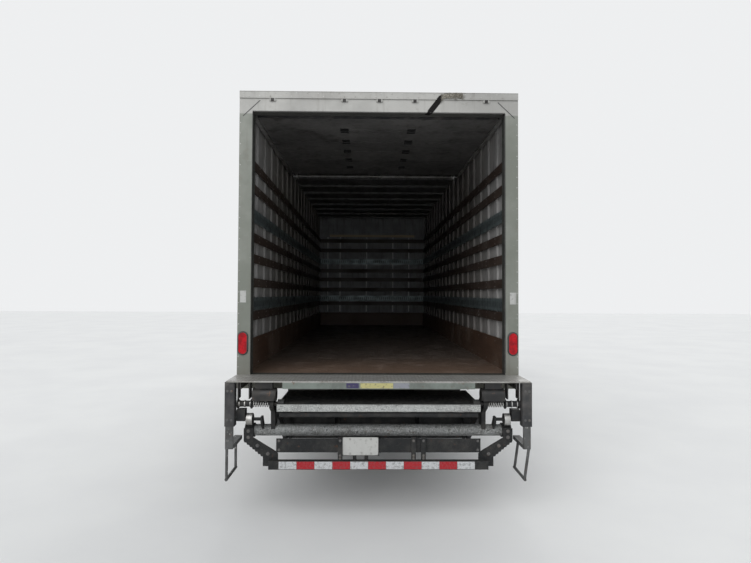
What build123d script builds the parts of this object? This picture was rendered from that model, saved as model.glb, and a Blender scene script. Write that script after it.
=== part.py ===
from build123d import *
from math import atan2, cos, degrees, hypot, radians, sin
import os

os.makedirs("parts", exist_ok=True)

# A box truck with a dry-freight body, a roll-up rear door and a folding tuck-under liftgate.
# +Y is forward, +X is the right side, +Z is up, and the ground is at z = 0.

# lengthwise sizes
bed_extension = 360
body_length = 7925
cab_gap = 110
cab_length = 2690
wheelbase = 6450
front_overhang = 1020

# body sizes
body_width = 2590
body_height = 2620
floor_board = 35
sill_depth = 90
long_sill_depth = 100
wall_skin = 28
lining_depth = 34
roof_skin = 30
roof_bow_depth = 32
front_wall_skin = 45
frame_depth = 120
post_width = 122
header_height = 120
cap_height = 65

# chassis sizes
rail_top = 945
rail_depth = 255
rail_flange = 76
rail_web = 9
rail_spread = 860
long_sill_width = 60

# wheels
tyre_radius = 500
tyre_width = 275
rim_radius = 290
front_track = 2060
kingpin_spread = 1840
twin_outer = 1080
twin_spacing = 325

# cab sizes
cab_width = 2040
cab_wall = 62
cab_floor = 1060
cab_roof = 2520
door_gap = 6
glass_thickness = 6

# places that follow from the sizes
overall_length = bed_extension + body_length + cab_gap + cab_length
rear_y = -overall_length / 2
front_y = overall_length / 2
frame_y = rear_y + bed_extension
body_front_y = frame_y + body_length
cab_back_y = body_front_y + cab_gap
front_axle_y = front_y - front_overhang
rear_axle_y = front_axle_y - wheelbase
body_half = body_width / 2
rail_half = rail_spread / 2
rail_bottom = rail_top - rail_depth
floor_height = rail_top + long_sill_depth + sill_depth + floor_board
sill_top = floor_height - floor_board
cross_sill_bottom = sill_top - sill_depth
body_top = floor_height + body_height
inner_half = body_half - wall_skin
clear_half = inner_half - lining_depth
opening_half = body_half - post_width
opening_top = body_top - cap_height - header_height - 3
ceiling = body_top - roof_skin


def block(x0, x1, y0, y1, z0, z1, mode=Mode.ADD):
    """A box given by its two ends along each axis."""
    with Locations(((x0 + x1) / 2, (y0 + y1) / 2, (z0 + z1) / 2)):
        Box(abs(x1 - x0), abs(y1 - y0), abs(z1 - z0), mode=mode)


def bar_x(x0, x1, y, z, radius, mode=Mode.ADD):
    """A round bar or bore along X."""
    with Locations(((x0 + x1) / 2, y, z)):
        Cylinder(radius, abs(x1 - x0), rotation=(0, 90, 0), mode=mode)


def bar_y(x, y0, y1, z, radius, mode=Mode.ADD):
    """A round bar or bore along Y."""
    with Locations((x, (y0 + y1) / 2, z)):
        Cylinder(radius, abs(y1 - y0), rotation=(90, 0, 0), mode=mode)


def bar_z(x, y, z0, z1, radius, mode=Mode.ADD):
    """A round bar or bore along Z."""
    with Locations((x, y, (z0 + z1) / 2)):
        Cylinder(radius, abs(z1 - z0), mode=mode)


def plate_x(points, x0, x1, mode=Mode.ADD):
    """A flat plate from x0 to x1 whose outline is given as (y, z) corners."""
    with BuildSketch(Plane.YZ.offset(x0), mode=Mode.PRIVATE) as outline:
        with BuildLine():
            Polyline(*points, close=True)
        make_face()
    extrude(outline.sketch, amount=x1 - x0, mode=mode)


def plate_y(points, y0, y1, mode=Mode.ADD):
    """A flat plate from y0 to y1 whose outline is given as (x, z) corners."""
    with BuildSketch(Plane.XZ.offset(-y0), mode=Mode.PRIVATE) as outline:
        with BuildLine():
            Polyline(*points, close=True)
        make_face()
    extrude(outline.sketch, amount=-(y1 - y0), mode=mode)


def plate_z(points, z0, z1, mode=Mode.ADD):
    """A flat plate from z0 to z1 whose outline is given as (x, y) corners."""
    with BuildSketch(Plane.XY.offset(z0), mode=Mode.PRIVATE) as outline:
        with BuildLine():
            Polyline(*points, close=True)
        make_face()
    extrude(outline.sketch, amount=z1 - z0, mode=mode)


def rod(start, end, radius, mode=Mode.ADD):
    """A round bar between two points."""
    way = Vector(*end) - Vector(*start)
    with BuildSketch(Plane(origin=start, z_dir=way), mode=Mode.PRIVATE) as section:
        Circle(radius)
    extrude(section.sketch, amount=way.length, mode=mode)


def save(builder, label):
    """Label a finished piece and write it out."""
    builder.part.label = label
    export_step(builder.part, f"parts/{label}.step")


# chassis frame: two channel rails joined by riveted crossmembers
rail_rear_y = rear_y + 790
rail_front_y = front_y - 200
gate_cylinder_y = rear_y + 1480
crossmember_places = [
    gate_cylinder_y,
    rear_axle_y - 520,
    rear_axle_y + 620,
    rear_axle_y + 2300,
    rear_axle_y + 3700,
    front_axle_y - 1350,
    rail_front_y - 60,
]
crossmember_depth = 150
crossmember_thickness = 60
gate_pin_radius = 14
barrel_pivot_z = 480

with BuildPart() as frame:
    for side in (-1, 1):
        with BuildSketch(Plane.XZ.offset(-rail_rear_y)):
            with BuildLine():
                Polyline(
                    (side * rail_half, rail_bottom),
                    (side * rail_half, rail_top),
                    (side * (rail_half - rail_flange), rail_top),
                    (side * (rail_half - rail_flange), rail_top - rail_web),
                    (side * (rail_half - rail_web), rail_top - rail_web),
                    (side * (rail_half - rail_web), rail_bottom + rail_web),
                    (side * (rail_half - rail_flange), rail_bottom + rail_web),
                    (side * (rail_half - rail_flange), rail_bottom),
                    close=True,
                )
            make_face()
        extrude(amount=-(rail_front_y - rail_rear_y))
    for place in crossmember_places:
        block(
            rail_web - rail_half, rail_half - rail_web,
            place - crossmember_thickness / 2, place + crossmember_thickness / 2,
            rail_bottom + 40, rail_bottom + 40 + crossmember_depth,
        )
    # two lugs hang from the last crossmember and hold the liftgate cylinder's pin
    for side in (-1, 1):
        plate_x(
            [
                (gate_cylinder_y - 60, rail_bottom + 60),
                (gate_cylinder_y + 60, rail_bottom + 60),
                (gate_cylinder_y + 36, barrel_pivot_z - 36),
                (gate_cylinder_y - 36, barrel_pivot_z - 36),
            ],
            side * 40, side * 54,
        )
    bar_x(-60, 60, gate_cylinder_y, barrel_pivot_z, gate_pin_radius)
save(frame, "frame")

# leaf springs: packs of leaves over each axle, with hangers on the rails
spring_width = 75
front_spring_x = 485
rear_spring_x = 485
front_spring_half = 700
rear_spring_half = 760
axle_z = tyre_radius
front_beam_top = axle_z - 10
rear_tube_radius = 62


def spring_pack(centre_y, half, seat_z, eye_rise, leaf_count, leaf):
    """A stack of arched leaves as one side outline, from its seat up to its eyes."""
    with BuildSketch(Plane.YZ, mode=Mode.PRIVATE) as outline:
        with BuildLine():
            ThreePointArc(
                (centre_y - half, seat_z + eye_rise),
                (centre_y, seat_z + leaf_count * leaf),
                (centre_y + half, seat_z + eye_rise),
            )
            Line((centre_y + half, seat_z + eye_rise), (centre_y + half, seat_z + eye_rise - leaf))
            Line(
                (centre_y + half, seat_z + eye_rise - leaf),
                (centre_y + 0.35 * half, seat_z),
            )
            Line((centre_y + 0.35 * half, seat_z), (centre_y - 0.35 * half, seat_z))
            Line(
                (centre_y - 0.35 * half, seat_z),
                (centre_y - half, seat_z + eye_rise - leaf),
            )
            Line((centre_y - half, seat_z + eye_rise - leaf), (centre_y - half, seat_z + eye_rise))
        make_face()
    return outline.sketch


with BuildPart() as leaf_springs:
    for side in (-1, 1):
        for spring_x, centre_y, half, seat_z, rise in (
            (front_spring_x, front_axle_y, front_spring_half, front_beam_top, 130),
            (rear_spring_x, rear_axle_y, rear_spring_half, axle_z + rear_tube_radius + 4, 95),
        ):
            pack = spring_pack(centre_y, half, seat_z, rise, 6, 12)
            with Locations((side * spring_x - spring_width / 2, 0, 0)):
                add(extrude(pack, amount=spring_width, dir=(1, 0, 0), mode=Mode.PRIVATE))
            for end in (-1, 1):
                eye_y = centre_y + end * half
                eye_z = seat_z + rise - 6
                bar_x(
                    side * spring_x - spring_width / 2, side * spring_x + spring_width / 2,
                    eye_y, eye_z, 24,
                )
                # hanger plate from the eye up to the rail's outer face
                plate_x(
                    [
                        (eye_y - 24, eye_z - 10),
                        (eye_y + 24, eye_z - 10),
                        (eye_y + 70, rail_bottom + 200),
                        (eye_y - 70, rail_bottom + 200),
                    ],
                    side * rail_half, side * (spring_x - spring_width / 2 + 1),
                )
save(leaf_springs, "leaf_springs")

# front axle: a forged beam with a kingpin at each end
kingpin_x = kingpin_spread / 2
front_wheel_x = front_track / 2
kingpin_radius = 20
kingpin_fit = 0.05
knuckle_half = 90
boss_radius = 48
boss_half = 55
steer_arm = 185
tie_rod_z = axle_z - 108
tie_rod_radius = 14
ball_radius = 12

with BuildPart() as front_axle:
    plate_y(
        [
            (-kingpin_x, axle_z + 35),
            (-700, front_beam_top),
            (700, front_beam_top),
            (kingpin_x, axle_z + 35),
            (kingpin_x, axle_z - 35),
            (640, front_beam_top - 88),
            (-640, front_beam_top - 88),
            (-kingpin_x, axle_z - 35),
        ],
        front_axle_y - 42, front_axle_y + 42,
    )
    for side in (-1, 1):
        bar_z(side * kingpin_x, front_axle_y, axle_z - boss_half, axle_z + boss_half, boss_radius)
        bar_z(
            side * kingpin_x, front_axle_y,
            axle_z - knuckle_half, axle_z + knuckle_half, kingpin_radius,
        )
save(front_axle, "front_axle")


def knuckle(side):
    """A steering knuckle: two ears on the kingpin, a spindle and a steering arm."""
    back = side * (kingpin_x + 56)
    face = side * (kingpin_x + 82)
    for z0, z1 in (
        (axle_z - knuckle_half, axle_z - boss_half - 3),
        (axle_z + boss_half + 3, axle_z + knuckle_half),
    ):
        block(side * kingpin_x, back, front_axle_y - 46, front_axle_y + 46, z0, z1)
        bar_z(side * kingpin_x, front_axle_y, z0, z1, 46)
    block(
        back, face, front_axle_y - 46, front_axle_y + 46,
        axle_z - knuckle_half, axle_z + knuckle_half,
    )
    bar_x(face - side * 12, face, front_axle_y, axle_z, 178)
    bar_x(face, side * (front_wheel_x + 95), front_axle_y, axle_z, 32)
    block(
        side * (kingpin_x - 16), side * (kingpin_x + 16),
        front_axle_y - steer_arm, front_axle_y - 40,
        axle_z - knuckle_half, axle_z - boss_half - 5,
    )
    bar_z(
        side * kingpin_x, front_axle_y - steer_arm,
        axle_z - knuckle_half, axle_z - boss_half - 5, 24,
    )
    bar_z(
        side * kingpin_x, front_axle_y - steer_arm,
        tie_rod_z - 14, axle_z - knuckle_half, ball_radius,
    )
    bar_z(
        side * kingpin_x, front_axle_y,
        axle_z - knuckle_half - 1, axle_z + knuckle_half + 1,
        kingpin_radius + kingpin_fit, Mode.SUBTRACT,
    )


with BuildPart() as knuckle_left:
    knuckle(-1)
save(knuckle_left, "knuckle_left")

with BuildPart() as knuckle_right:
    knuckle(1)
save(knuckle_right, "knuckle_right")

with BuildPart() as tie_rod:
    bar_x(-kingpin_x, kingpin_x, front_axle_y - steer_arm, tie_rod_z, tie_rod_radius)
    for side in (-1, 1):
        bar_z(side * kingpin_x, front_axle_y - steer_arm, tie_rod_z - 12, tie_rod_z + 12, 30)
        bar_z(
            side * kingpin_x, front_axle_y - steer_arm,
            tie_rod_z - 18, tie_rod_z + 18, ball_radius + kingpin_fit, Mode.SUBTRACT,
        )
save(tie_rod, "tie_rod")

# tyre section: (distance from the tyre's mid plane, radius), one side, from bead to tread
bead_half = 100
rim_lip = 300
tyre_section = [
    (bead_half, rim_radius),
    (bead_half, rim_lip + 1),
    (tyre_width / 2 - 6, rim_radius + 62),
    (tyre_width / 2, rim_radius + 112),
    (tyre_width / 2 - 8, tyre_radius - 34),
    (tyre_width / 2 - 30, tyre_radius - 5),
    (40, tyre_radius),
]


def tyre(wheel_x, axle_y):
    """One tyre turned about the wheel's axis, hollow behind its beads, with grooves."""
    axis = Axis((0, axle_y, axle_z), (1, 0, 0))
    right = [(wheel_x + offset, axle_z + radius) for offset, radius in tyre_section]
    left = [(wheel_x - offset, axle_z + radius) for offset, radius in reversed(tyre_section)]
    with BuildSketch(Plane.XZ.offset(-axle_y), mode=Mode.PRIVATE) as outline:
        with BuildLine():
            Polyline(*right, *left, close=True)
        make_face()
    revolve(outline.sketch, axis=axis)


with BuildPart() as front_tyre_left:
    tyre(-front_wheel_x, front_axle_y)
save(front_tyre_left, "front_tyre_left")

with BuildPart() as front_tyre_right:
    tyre(front_wheel_x, front_axle_y)
save(front_tyre_right, "front_tyre_right")

with BuildPart() as rear_tyres_left:
    tyre(-twin_outer, rear_axle_y)
    tyre(-(twin_outer - twin_spacing), rear_axle_y)
save(rear_tyres_left, "rear_tyres_left")

with BuildPart() as rear_tyres_right:
    tyre(twin_outer, rear_axle_y)
    tyre(twin_outer - twin_spacing, rear_axle_y)
save(rear_tyres_right, "rear_tyres_right")

# wheels: pressed steel discs on 10-stud hubs
rim_half = 105
rim_well = 262
disc_thickness = 14
hand_hole_count = 8
hand_hole_radius = 27
hand_hole_circle = 205
stud_circle = 143
hub_radius = 95


def rim(wheel_x, axle_y):
    """The barrel that carries one tyre, lipped on both edges."""
    bar_x(wheel_x - bead_half, wheel_x + bead_half, axle_y, axle_z, rim_radius)
    for side in (-1, 1):
        bar_x(
            wheel_x + side * bead_half, wheel_x + side * (rim_half + 6),
            axle_y, axle_z, rim_lip,
        )
    bar_x(
        wheel_x - rim_half - 7, wheel_x + rim_half + 7, axle_y, axle_z, rim_well, Mode.SUBTRACT,
    )


def hand_holes(x0, x1, axle_y):
    """A ring of round hand holes through a disc."""
    for index in range(hand_hole_count):
        angle = radians(index * 360 / hand_hole_count)
        bar_x(
            x0, x1, axle_y + hand_hole_circle * cos(angle),
            axle_z + hand_hole_circle * sin(angle), hand_hole_radius, Mode.SUBTRACT,
        )


def front_wheel(side):
    """A front wheel: rim, disc set outboard, brake drum and hub."""
    wheel_x = side * front_wheel_x
    disc_in = wheel_x + side * 55
    disc_out = disc_in + side * disc_thickness
    drum_in = side * (kingpin_x + 88)
    rim(wheel_x, front_axle_y)
    bar_x(disc_in, disc_out, front_axle_y, axle_z, rim_well + 4)
    hand_holes(disc_in - side, disc_out + side, front_axle_y)
    bar_x(drum_in, disc_in, front_axle_y, axle_z, 208)
    bar_x(drum_in - side, disc_in - side * 8, front_axle_y, axle_z, 192, Mode.SUBTRACT)
    bar_x(drum_in, disc_out + side * 62, front_axle_y, axle_z, hub_radius)
    bar_x(
        drum_in - side, side * (front_wheel_x + 97),
        front_axle_y, axle_z, 32 + kingpin_fit, Mode.SUBTRACT,
    )


with BuildPart() as front_wheel_left:
    front_wheel(-1)
save(front_wheel_left, "front_wheel_left")

with BuildPart() as front_wheel_right:
    front_wheel(1)
save(front_wheel_right, "front_wheel_right")

rear_axle_end = 612
rear_hub_end = twin_outer + 62


def rear_wheels(side):
    """A twin pair: two rims whose discs meet on one hub."""
    outer_x = side * twin_outer
    inner_x = side * (twin_outer - twin_spacing)
    mate_x = (outer_x + inner_x) / 2
    rim(outer_x, rear_axle_y)
    rim(inner_x, rear_axle_y)
    bar_x(
        mate_x - side * disc_thickness, mate_x + side * disc_thickness,
        rear_axle_y, axle_z, rim_well - 24,
    )
    # dished skirts run from the mated discs out to each rim
    for wheel_x in (outer_x, inner_x):
        near = wheel_x + (rim_half - 20) * (1 if wheel_x * side < mate_x * side else -1) * side
        bar_x(mate_x, near, rear_axle_y, axle_z, rim_well + 3)
        bar_x(mate_x, near, rear_axle_y, axle_z, rim_well - 12, Mode.SUBTRACT)
    bar_x(
        mate_x - side * disc_thickness, mate_x + side * disc_thickness,
        rear_axle_y, axle_z, rim_well - 8,
    )
    hand_holes(mate_x - side * 20, mate_x + side * 20, rear_axle_y)
    bar_x(mate_x, side * rear_hub_end, rear_axle_y, axle_z, 118)
    bar_x(side * (rear_axle_end + 8), mate_x, rear_axle_y, axle_z, 205)
    bar_x(side * (rear_axle_end + 7), mate_x - side * 24, rear_axle_y, axle_z, 190, Mode.SUBTRACT)
    bar_x(side * (rear_axle_end + 8), side * rear_hub_end, rear_axle_y, axle_z, hub_radius)
    bar_x(
        side * (rear_axle_end - 20), side * (rear_hub_end - 24),
        rear_axle_y, axle_z, 45 + kingpin_fit, Mode.SUBTRACT,
    )


with BuildPart() as rear_wheels_left:
    rear_wheels(-1)
save(rear_wheels_left, "rear_wheels_left")

with BuildPart() as rear_wheels_right:
    rear_wheels(1)
save(rear_wheels_right, "rear_wheels_right")

# rear axle: a banjo housing with spring seats, and the drive shaft that meets its nose
gearbox_rear_y = front_axle_y - 1250
shaft_z = 640
pinion_z = 520

with BuildPart() as rear_axle:
    bar_x(-rear_axle_end, rear_axle_end, rear_axle_y, axle_z, rear_tube_radius)
    with Locations((0, rear_axle_y, axle_z)):
        Sphere(205)
    bar_y(0, rear_axle_y, rear_axle_y + 330, pinion_z, 75)
    for side in (-1, 1):
        bar_x(
            side * rear_axle_end, side * (rear_hub_end - 30), rear_axle_y, axle_z, 45,
        )
        bar_x(side * (rear_axle_end - 14), side * rear_axle_end, rear_axle_y, axle_z, 172)
        block(
            side * (rear_spring_x - 45), side * (rear_spring_x + 45),
            rear_axle_y - 110, rear_axle_y + 110,
            axle_z, axle_z + rear_tube_radius + 4,
        )
save(rear_axle, "rear_axle")

shaft_start = (0, rear_axle_y + 330, pinion_z)
shaft_end = (0, gearbox_rear_y, shaft_z)
shaft_run = (0, shaft_end[1] - shaft_start[1], shaft_end[2] - shaft_start[2])
with BuildPart() as drive_shaft:
    with BuildSketch(Plane(origin=shaft_start, z_dir=shaft_run)):
        Circle(52)
    extrude(amount=hypot(shaft_run[1], shaft_run[2]))
    split(bisect_by=Plane(origin=(0, shaft_end[1], 0), z_dir=(0, -1, 0)), keep=Keep.TOP)
    split(bisect_by=Plane(origin=(0, shaft_start[1], 0), z_dir=(0, 1, 0)), keep=Keep.TOP)
save(drive_shaft, "drive_shaft")

# engine: one plain block with its gearbox behind, and the radiator ahead of it
firewall_y = cab_back_y + 1290
engine_rear_y = firewall_y + 20
engine_front_y = engine_rear_y + 860
radiator_y = engine_front_y + 80

with BuildPart() as engine:
    block(-330, 330, engine_rear_y, engine_front_y, 700, 1420)
    block(-300, 300, engine_rear_y, engine_front_y, 560, 700)
    bar_y(0, gearbox_rear_y + 330, engine_rear_y, 700, 230)
    bar_y(0, gearbox_rear_y, gearbox_rear_y + 330, shaft_z, 120)
    block(-350, 350, radiator_y, radiator_y + 90, 720, 1360)
    block(-120, 120, engine_front_y, radiator_y, 1000, 1240)
save(engine, "engine")

# exhaust: a muffler and pipe slung under the right rail
exhaust_z = 600
with BuildPart() as exhaust:
    with Locations((rail_half + 190, rear_axle_y + 3900, exhaust_z)):
        Cylinder(130, 1150, rotation=(90, 0, 0))
    bar_y(rail_half + 190, rear_axle_y + 1500, rear_axle_y + 3325, exhaust_z, 50)
    bar_x(rail_half + 190, body_half - 60, rear_axle_y + 1500, exhaust_z, 50)
    for place in (rear_axle_y + 3500, rear_axle_y + 4300):
        block(
            rail_half, rail_half + 190, place - 30, place + 30,
            exhaust_z + 100, exhaust_z + 145,
        )
save(exhaust, "exhaust")

# fuel tank under the left door with a step face, battery box behind it
tank_front_y = front_axle_y - front_spring_half - 90
tank_length = 1100
tank_radius = 300
tank_x = -(rail_half + 20 + tank_radius)
tank_z = 700

with BuildPart() as fuel_tank:
    bar_y(tank_x, tank_front_y - tank_length, tank_front_y, tank_z, tank_radius)
    for place in (tank_front_y - 240, tank_front_y - tank_length + 240):
        block(tank_x, -rail_half, place - 35, place + 35, tank_z - 40, tank_z + 200)
    for step_z in (tank_z - 190, tank_z + 110):
        block(
            tank_x - tank_radius - 60, tank_x - 120,
            tank_front_y - 640, tank_front_y - 120, step_z, step_z + 28,
        )
save(fuel_tank, "fuel_tank")

with BuildPart() as battery_box:
    block(
        rail_half, rail_half + 560, tank_front_y - 760, tank_front_y - 20,
        tank_z - 260, tank_z + 190,
    )
    fillet(battery_box.edges().filter_by(Axis.Y), radius=24)
    block(
        rail_half + 560, rail_half + 640, tank_front_y - 700, tank_front_y - 80,
        tank_z - 190, tank_z - 162,
    )
    block(
        rail_half + 560, rail_half + 640, tank_front_y - 700, tank_front_y - 80,
        tank_z + 110, tank_z + 138,
    )
save(battery_box, "battery_box")

# front bumper with two tow eyes
bumper_bottom = 430
bumper_top = 725
bumper_depth = 130
bumper_half = 1200
bumper_bend_half = bumper_half * 0.75
bumper_face_half = bumper_half * 0.5
bumper_wing = 60
bumper_return = 330
tow_eye_x = 330
tow_eye_radius = 26
hood_hinge_y = front_y - bumper_depth - 12
hood_hinge_z = bumper_top + 22
hood_hinge_x = 500
hood_pin_radius = 12

with BuildPart() as front_bumper:
    with BuildSketch(Plane.XY.offset(bumper_bottom)):
        with BuildLine():
            Polyline(
                (-bumper_half, front_y - bumper_return),
                (-bumper_half, front_y - 190),
                (-bumper_bend_half, front_y - 20),
                (-bumper_face_half, front_y),
                (bumper_face_half, front_y),
                (bumper_bend_half, front_y - 20),
                (bumper_half, front_y - 190),
                (bumper_half, front_y - bumper_return),
                (bumper_half - bumper_wing, front_y - bumper_return),
                (bumper_half - bumper_wing, front_y - 215),
                (bumper_bend_half - 20, front_y - bumper_depth),
                (20 - bumper_bend_half, front_y - bumper_depth),
                (bumper_wing - bumper_half, front_y - 215),
                (bumper_wing - bumper_half, front_y - bumper_return),
                close=True,
            )
        make_face()
    extrude(amount=bumper_top - bumper_bottom)
    for side in (-1, 1):
        block(
            side * (rail_half - 40), side * rail_half,
            rail_front_y - 160, front_y - bumper_depth, bumper_bottom + 60, rail_bottom,
        )
        block(
            side * (tow_eye_x - 22), side * (tow_eye_x + 22),
            front_y - bumper_depth - 60, front_y - 8, bumper_bottom - 70, bumper_bottom,
        )
        bar_x(
            side * (tow_eye_x - 23), side * (tow_eye_x + 23),
            front_y - 50, bumper_bottom - 36, tow_eye_radius, Mode.SUBTRACT,
        )
        # hinge lug and pin for the hood
        block(
            side * hood_hinge_x, side * (hood_hinge_x + 16),
            front_y - bumper_depth - 20, front_y - bumper_depth + 30, bumper_top, hood_hinge_z,
        )
        bar_x(
            side * hood_hinge_x, side * (hood_hinge_x + 16), hood_hinge_y, hood_hinge_z, 18,
        )
        bar_x(
            side * (hood_hinge_x - 32), side * (hood_hinge_x + 16),
            hood_hinge_y, hood_hinge_z, hood_pin_radius,
        )
save(front_bumper, "front_bumper")

# cab: one shell of floor, firewall, back wall, roof and pillars, cut where the doors sit
cab_half = cab_width / 2
door_rear_y = cab_back_y + 240
door_front_y = cab_back_y + 1150
cowl_z = 1700
sill_z = 1180
roof_front_y = cab_back_y + 850
belt_z = 1760

cab_outline = [
    (cab_back_y, cab_floor),
    (firewall_y, cab_floor),
    (firewall_y, cowl_z),
    (roof_front_y, cab_roof - 70),
    (roof_front_y - 160, cab_roof),
    (cab_back_y + 60, cab_roof),
    (cab_back_y, cab_roof - 60),
]
room_outline = [
    (cab_back_y + cab_wall, cab_floor + cab_wall),
    (firewall_y - cab_wall, cab_floor + cab_wall),
    (firewall_y - cab_wall, cowl_z - 20),
    (roof_front_y - cab_wall, cab_roof - 70 - cab_wall),
    (roof_front_y - 170, cab_roof - cab_wall),
    (cab_back_y + 70, cab_roof - cab_wall),
    (cab_back_y + cab_wall, cab_roof - 80),
]
door_outline = [
    (door_rear_y, sill_z),
    (door_front_y, sill_z),
    (door_front_y, belt_z),
    (roof_front_y - 60, cab_roof - 140),
    (door_rear_y, cab_roof - 140),
]
window_outline = [
    (door_rear_y + 90, belt_z + 10),
    (door_front_y - 130, belt_z + 10),
    (roof_front_y - 130, cab_roof - 220),
    (door_rear_y + 90, cab_roof - 220),
]


door_hinge_y = door_front_y - door_gap / 2
door_hinge_heights = (1330, 1640)
door_pin_radius = 6
door_barrel_radius = 11
door_barrel_half = 30


def inset(points, gap):
    """The same convex outline drawn in by a gap on every side."""
    with BuildSketch(mode=Mode.PRIVATE) as outline:
        with BuildLine():
            Polyline(*points, close=True)
        make_face()
        offset(amount=-gap, kind=Kind.INTERSECTION, mode=Mode.REPLACE)
    corners = outline.sketch.face().outer_wire().order_edges()
    return [(edge.position_at(0).X, edge.position_at(0).Y) for edge in corners]


with BuildPart() as cab_form:
    plate_x(cab_outline, -cab_half, cab_half)
    fillet(
        cab_form.edges().filter_by(Axis.Y).group_by(Axis.Z)[-1],
        radius=90,
    )
    plate_x(room_outline, cab_wall - cab_half, cab_half - cab_wall, Mode.SUBTRACT)

screen_low = Vector(0, firewall_y, cowl_z)
screen_high = Vector(0, roof_front_y, cab_roof - 70)
screen_plane = Plane(
    origin=(screen_low + screen_high) * 0.5,
    x_dir=(1, 0, 0),
    z_dir=(0, cab_roof - 70 - cowl_z, firewall_y - roof_front_y),
)
screen_height = (screen_high - screen_low).length
screen_width = cab_width - 220
rear_window = (900, 420)
rear_window_z = 2080

with BuildPart() as cab_shell:
    add(cab_form.part)
    for side in (-1, 1):
        plate_x(
            door_outline, side * (cab_half - cab_wall - 2), side * (cab_half + 2), Mode.SUBTRACT,
        )
    with BuildSketch(screen_plane.offset(60)):
        RectangleRounded(screen_width, screen_height - 130, 60)
    extrude(amount=-260, mode=Mode.SUBTRACT)
    with BuildSketch(Plane.XZ.offset(-(cab_back_y - 5))):
        with Locations((0, rear_window_z)):
            RectangleRounded(*rear_window, 50)
    extrude(amount=-(cab_wall + 12), mode=Mode.SUBTRACT)
    # two hinges a side: the shell's barrels and pin, with room for the door's barrel
    for side in (-1, 1):
        for middle in door_hinge_heights:
            bar_z(
                side * cab_half, door_hinge_y, middle - door_barrel_half - 1,
                middle + door_barrel_half + 1, door_barrel_radius + 3, Mode.SUBTRACT,
            )
            bar_z(
                side * cab_half, door_hinge_y, middle + door_barrel_half + 1,
                middle + door_barrel_half + 45, door_barrel_radius,
            )
            bar_z(
                side * cab_half, door_hinge_y, middle - door_barrel_half - 45,
                middle - door_barrel_half - 1, door_barrel_radius,
            )
            bar_z(
                side * cab_half, door_hinge_y, middle - door_barrel_half - 20,
                middle + door_barrel_half + 20, door_pin_radius,
            )
    # mounts between the cab floor and the rails
    for place in (cab_back_y + 160, firewall_y - 160):
        for side in (-1, 1):
            block(
                side * (rail_half - rail_flange), side * rail_half,
                place - 60, place + 60, rail_top, cab_floor,
            )
save(cab_shell, "cab_shell")

with BuildPart() as cab_glass:
    with BuildSketch(screen_plane.offset(-8)):
        RectangleRounded(screen_width, screen_height - 130, 60)
    extrude(amount=-glass_thickness)
    with BuildSketch(Plane.XZ.offset(-(cab_back_y + 14))):
        with Locations((0, rear_window_z)):
            RectangleRounded(*rear_window, 50)
    extrude(amount=-glass_thickness)
save(cab_glass, "cab_glass")

mirror_y = door_front_y - 90
mirror_x = cab_half + 370


def door(side):
    """A cab door of the wall's thickness with its window cut and its mirror arm."""
    add(cab_form.part)
    plate_x(
        inset(door_outline, door_gap),
        side * (cab_half - cab_wall - 1), side * (cab_half + 1), Mode.INTERSECT,
    )
    plate_x(
        window_outline, side * (cab_half - cab_wall - 2), side * (cab_half + 2), Mode.SUBTRACT,
    )
    for middle in door_hinge_heights:
        bar_z(
            side * cab_half, door_hinge_y, middle - door_barrel_half - 50,
            middle + door_barrel_half + 50, door_barrel_radius + 3, Mode.SUBTRACT,
        )
        bar_z(
            side * cab_half, door_hinge_y, middle - door_barrel_half,
            middle + door_barrel_half, door_barrel_radius,
        )
        plate_z(
            [
                (side * (cab_half + door_barrel_radius), door_hinge_y),
                (side * (cab_half - 30), door_hinge_y),
                (side * (cab_half - 30), door_hinge_y - 40),
                (side * (cab_half + 4), door_hinge_y - 40),
            ],
            middle - door_barrel_half, middle + door_barrel_half,
        )
        bar_z(
            side * cab_half, door_hinge_y, middle - door_barrel_half - 2,
            middle + door_barrel_half + 2, door_pin_radius + kingpin_fit, Mode.SUBTRACT,
        )
    for arm_z in (belt_z - 60, belt_z + 380):
        bar_x(side * (cab_half - 10), side * mirror_x, mirror_y, arm_z, 13)
    block(
        side * (mirror_x - 120), side * (mirror_x + 30),
        mirror_y - 60, mirror_y + 60, belt_z - 70, belt_z + 390,
    )


with BuildPart() as door_left:
    door(-1)
save(door_left, "door_left")

with BuildPart() as door_right:
    door(1)
save(door_right, "door_right")


def door_glass(side):
    """The side window's pane, in the middle of the door's thickness."""
    plate_x(
        window_outline,
        side * (cab_half - cab_wall / 2), side * (cab_half - cab_wall / 2 + glass_thickness),
    )


with BuildPart() as door_glass_left:
    door_glass(-1)
save(door_glass_left, "door_glass_left")

with BuildPart() as door_glass_right:
    door_glass(1)
save(door_glass_right, "door_glass_right")

# hood: a tilting one-piece front with both fenders, hinged at its front lower edge
hood_gap = 14
hood_rear_y = firewall_y + hood_gap
hood_front_y = hood_hinge_y
hood_rear_half = 880
hood_front_half = 640
hood_skin = 42
hood_rear_top = cowl_z - 10
hood_front_top = 1480
fender_half = bumper_half + 15
fender_inner = 560
fender_top = 1185
arch_radius = 605
grille_half = 430
grille_bottom = 830
grille_top = 1340
lamp_inner = 700
lamp_outer = 1000
lamp_bottom = 860
lamp_top = 1050

hood_outline = [
    (hood_rear_y, rail_top + 110),
    (hood_rear_y, hood_rear_top),
    (hood_front_y - 240, hood_front_top),
    (hood_front_y - 60, hood_front_top - 90),
    (hood_front_y, hood_front_top - 260),
    (hood_front_y, hood_hinge_z),
    (hood_front_y - 120, hood_hinge_z),
]
fender_outline = [
    (hood_rear_y, 610),
    (hood_rear_y, fender_top - 60),
    (hood_rear_y + 150, fender_top),
    (front_axle_y + 420, fender_top),
    (hood_front_y - 130, fender_top - 120),
    (hood_front_y - 60, lamp_top + 20),
    (hood_front_y - 40, hood_hinge_z),
    (front_axle_y + 500, hood_hinge_z - 12),
]


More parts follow.
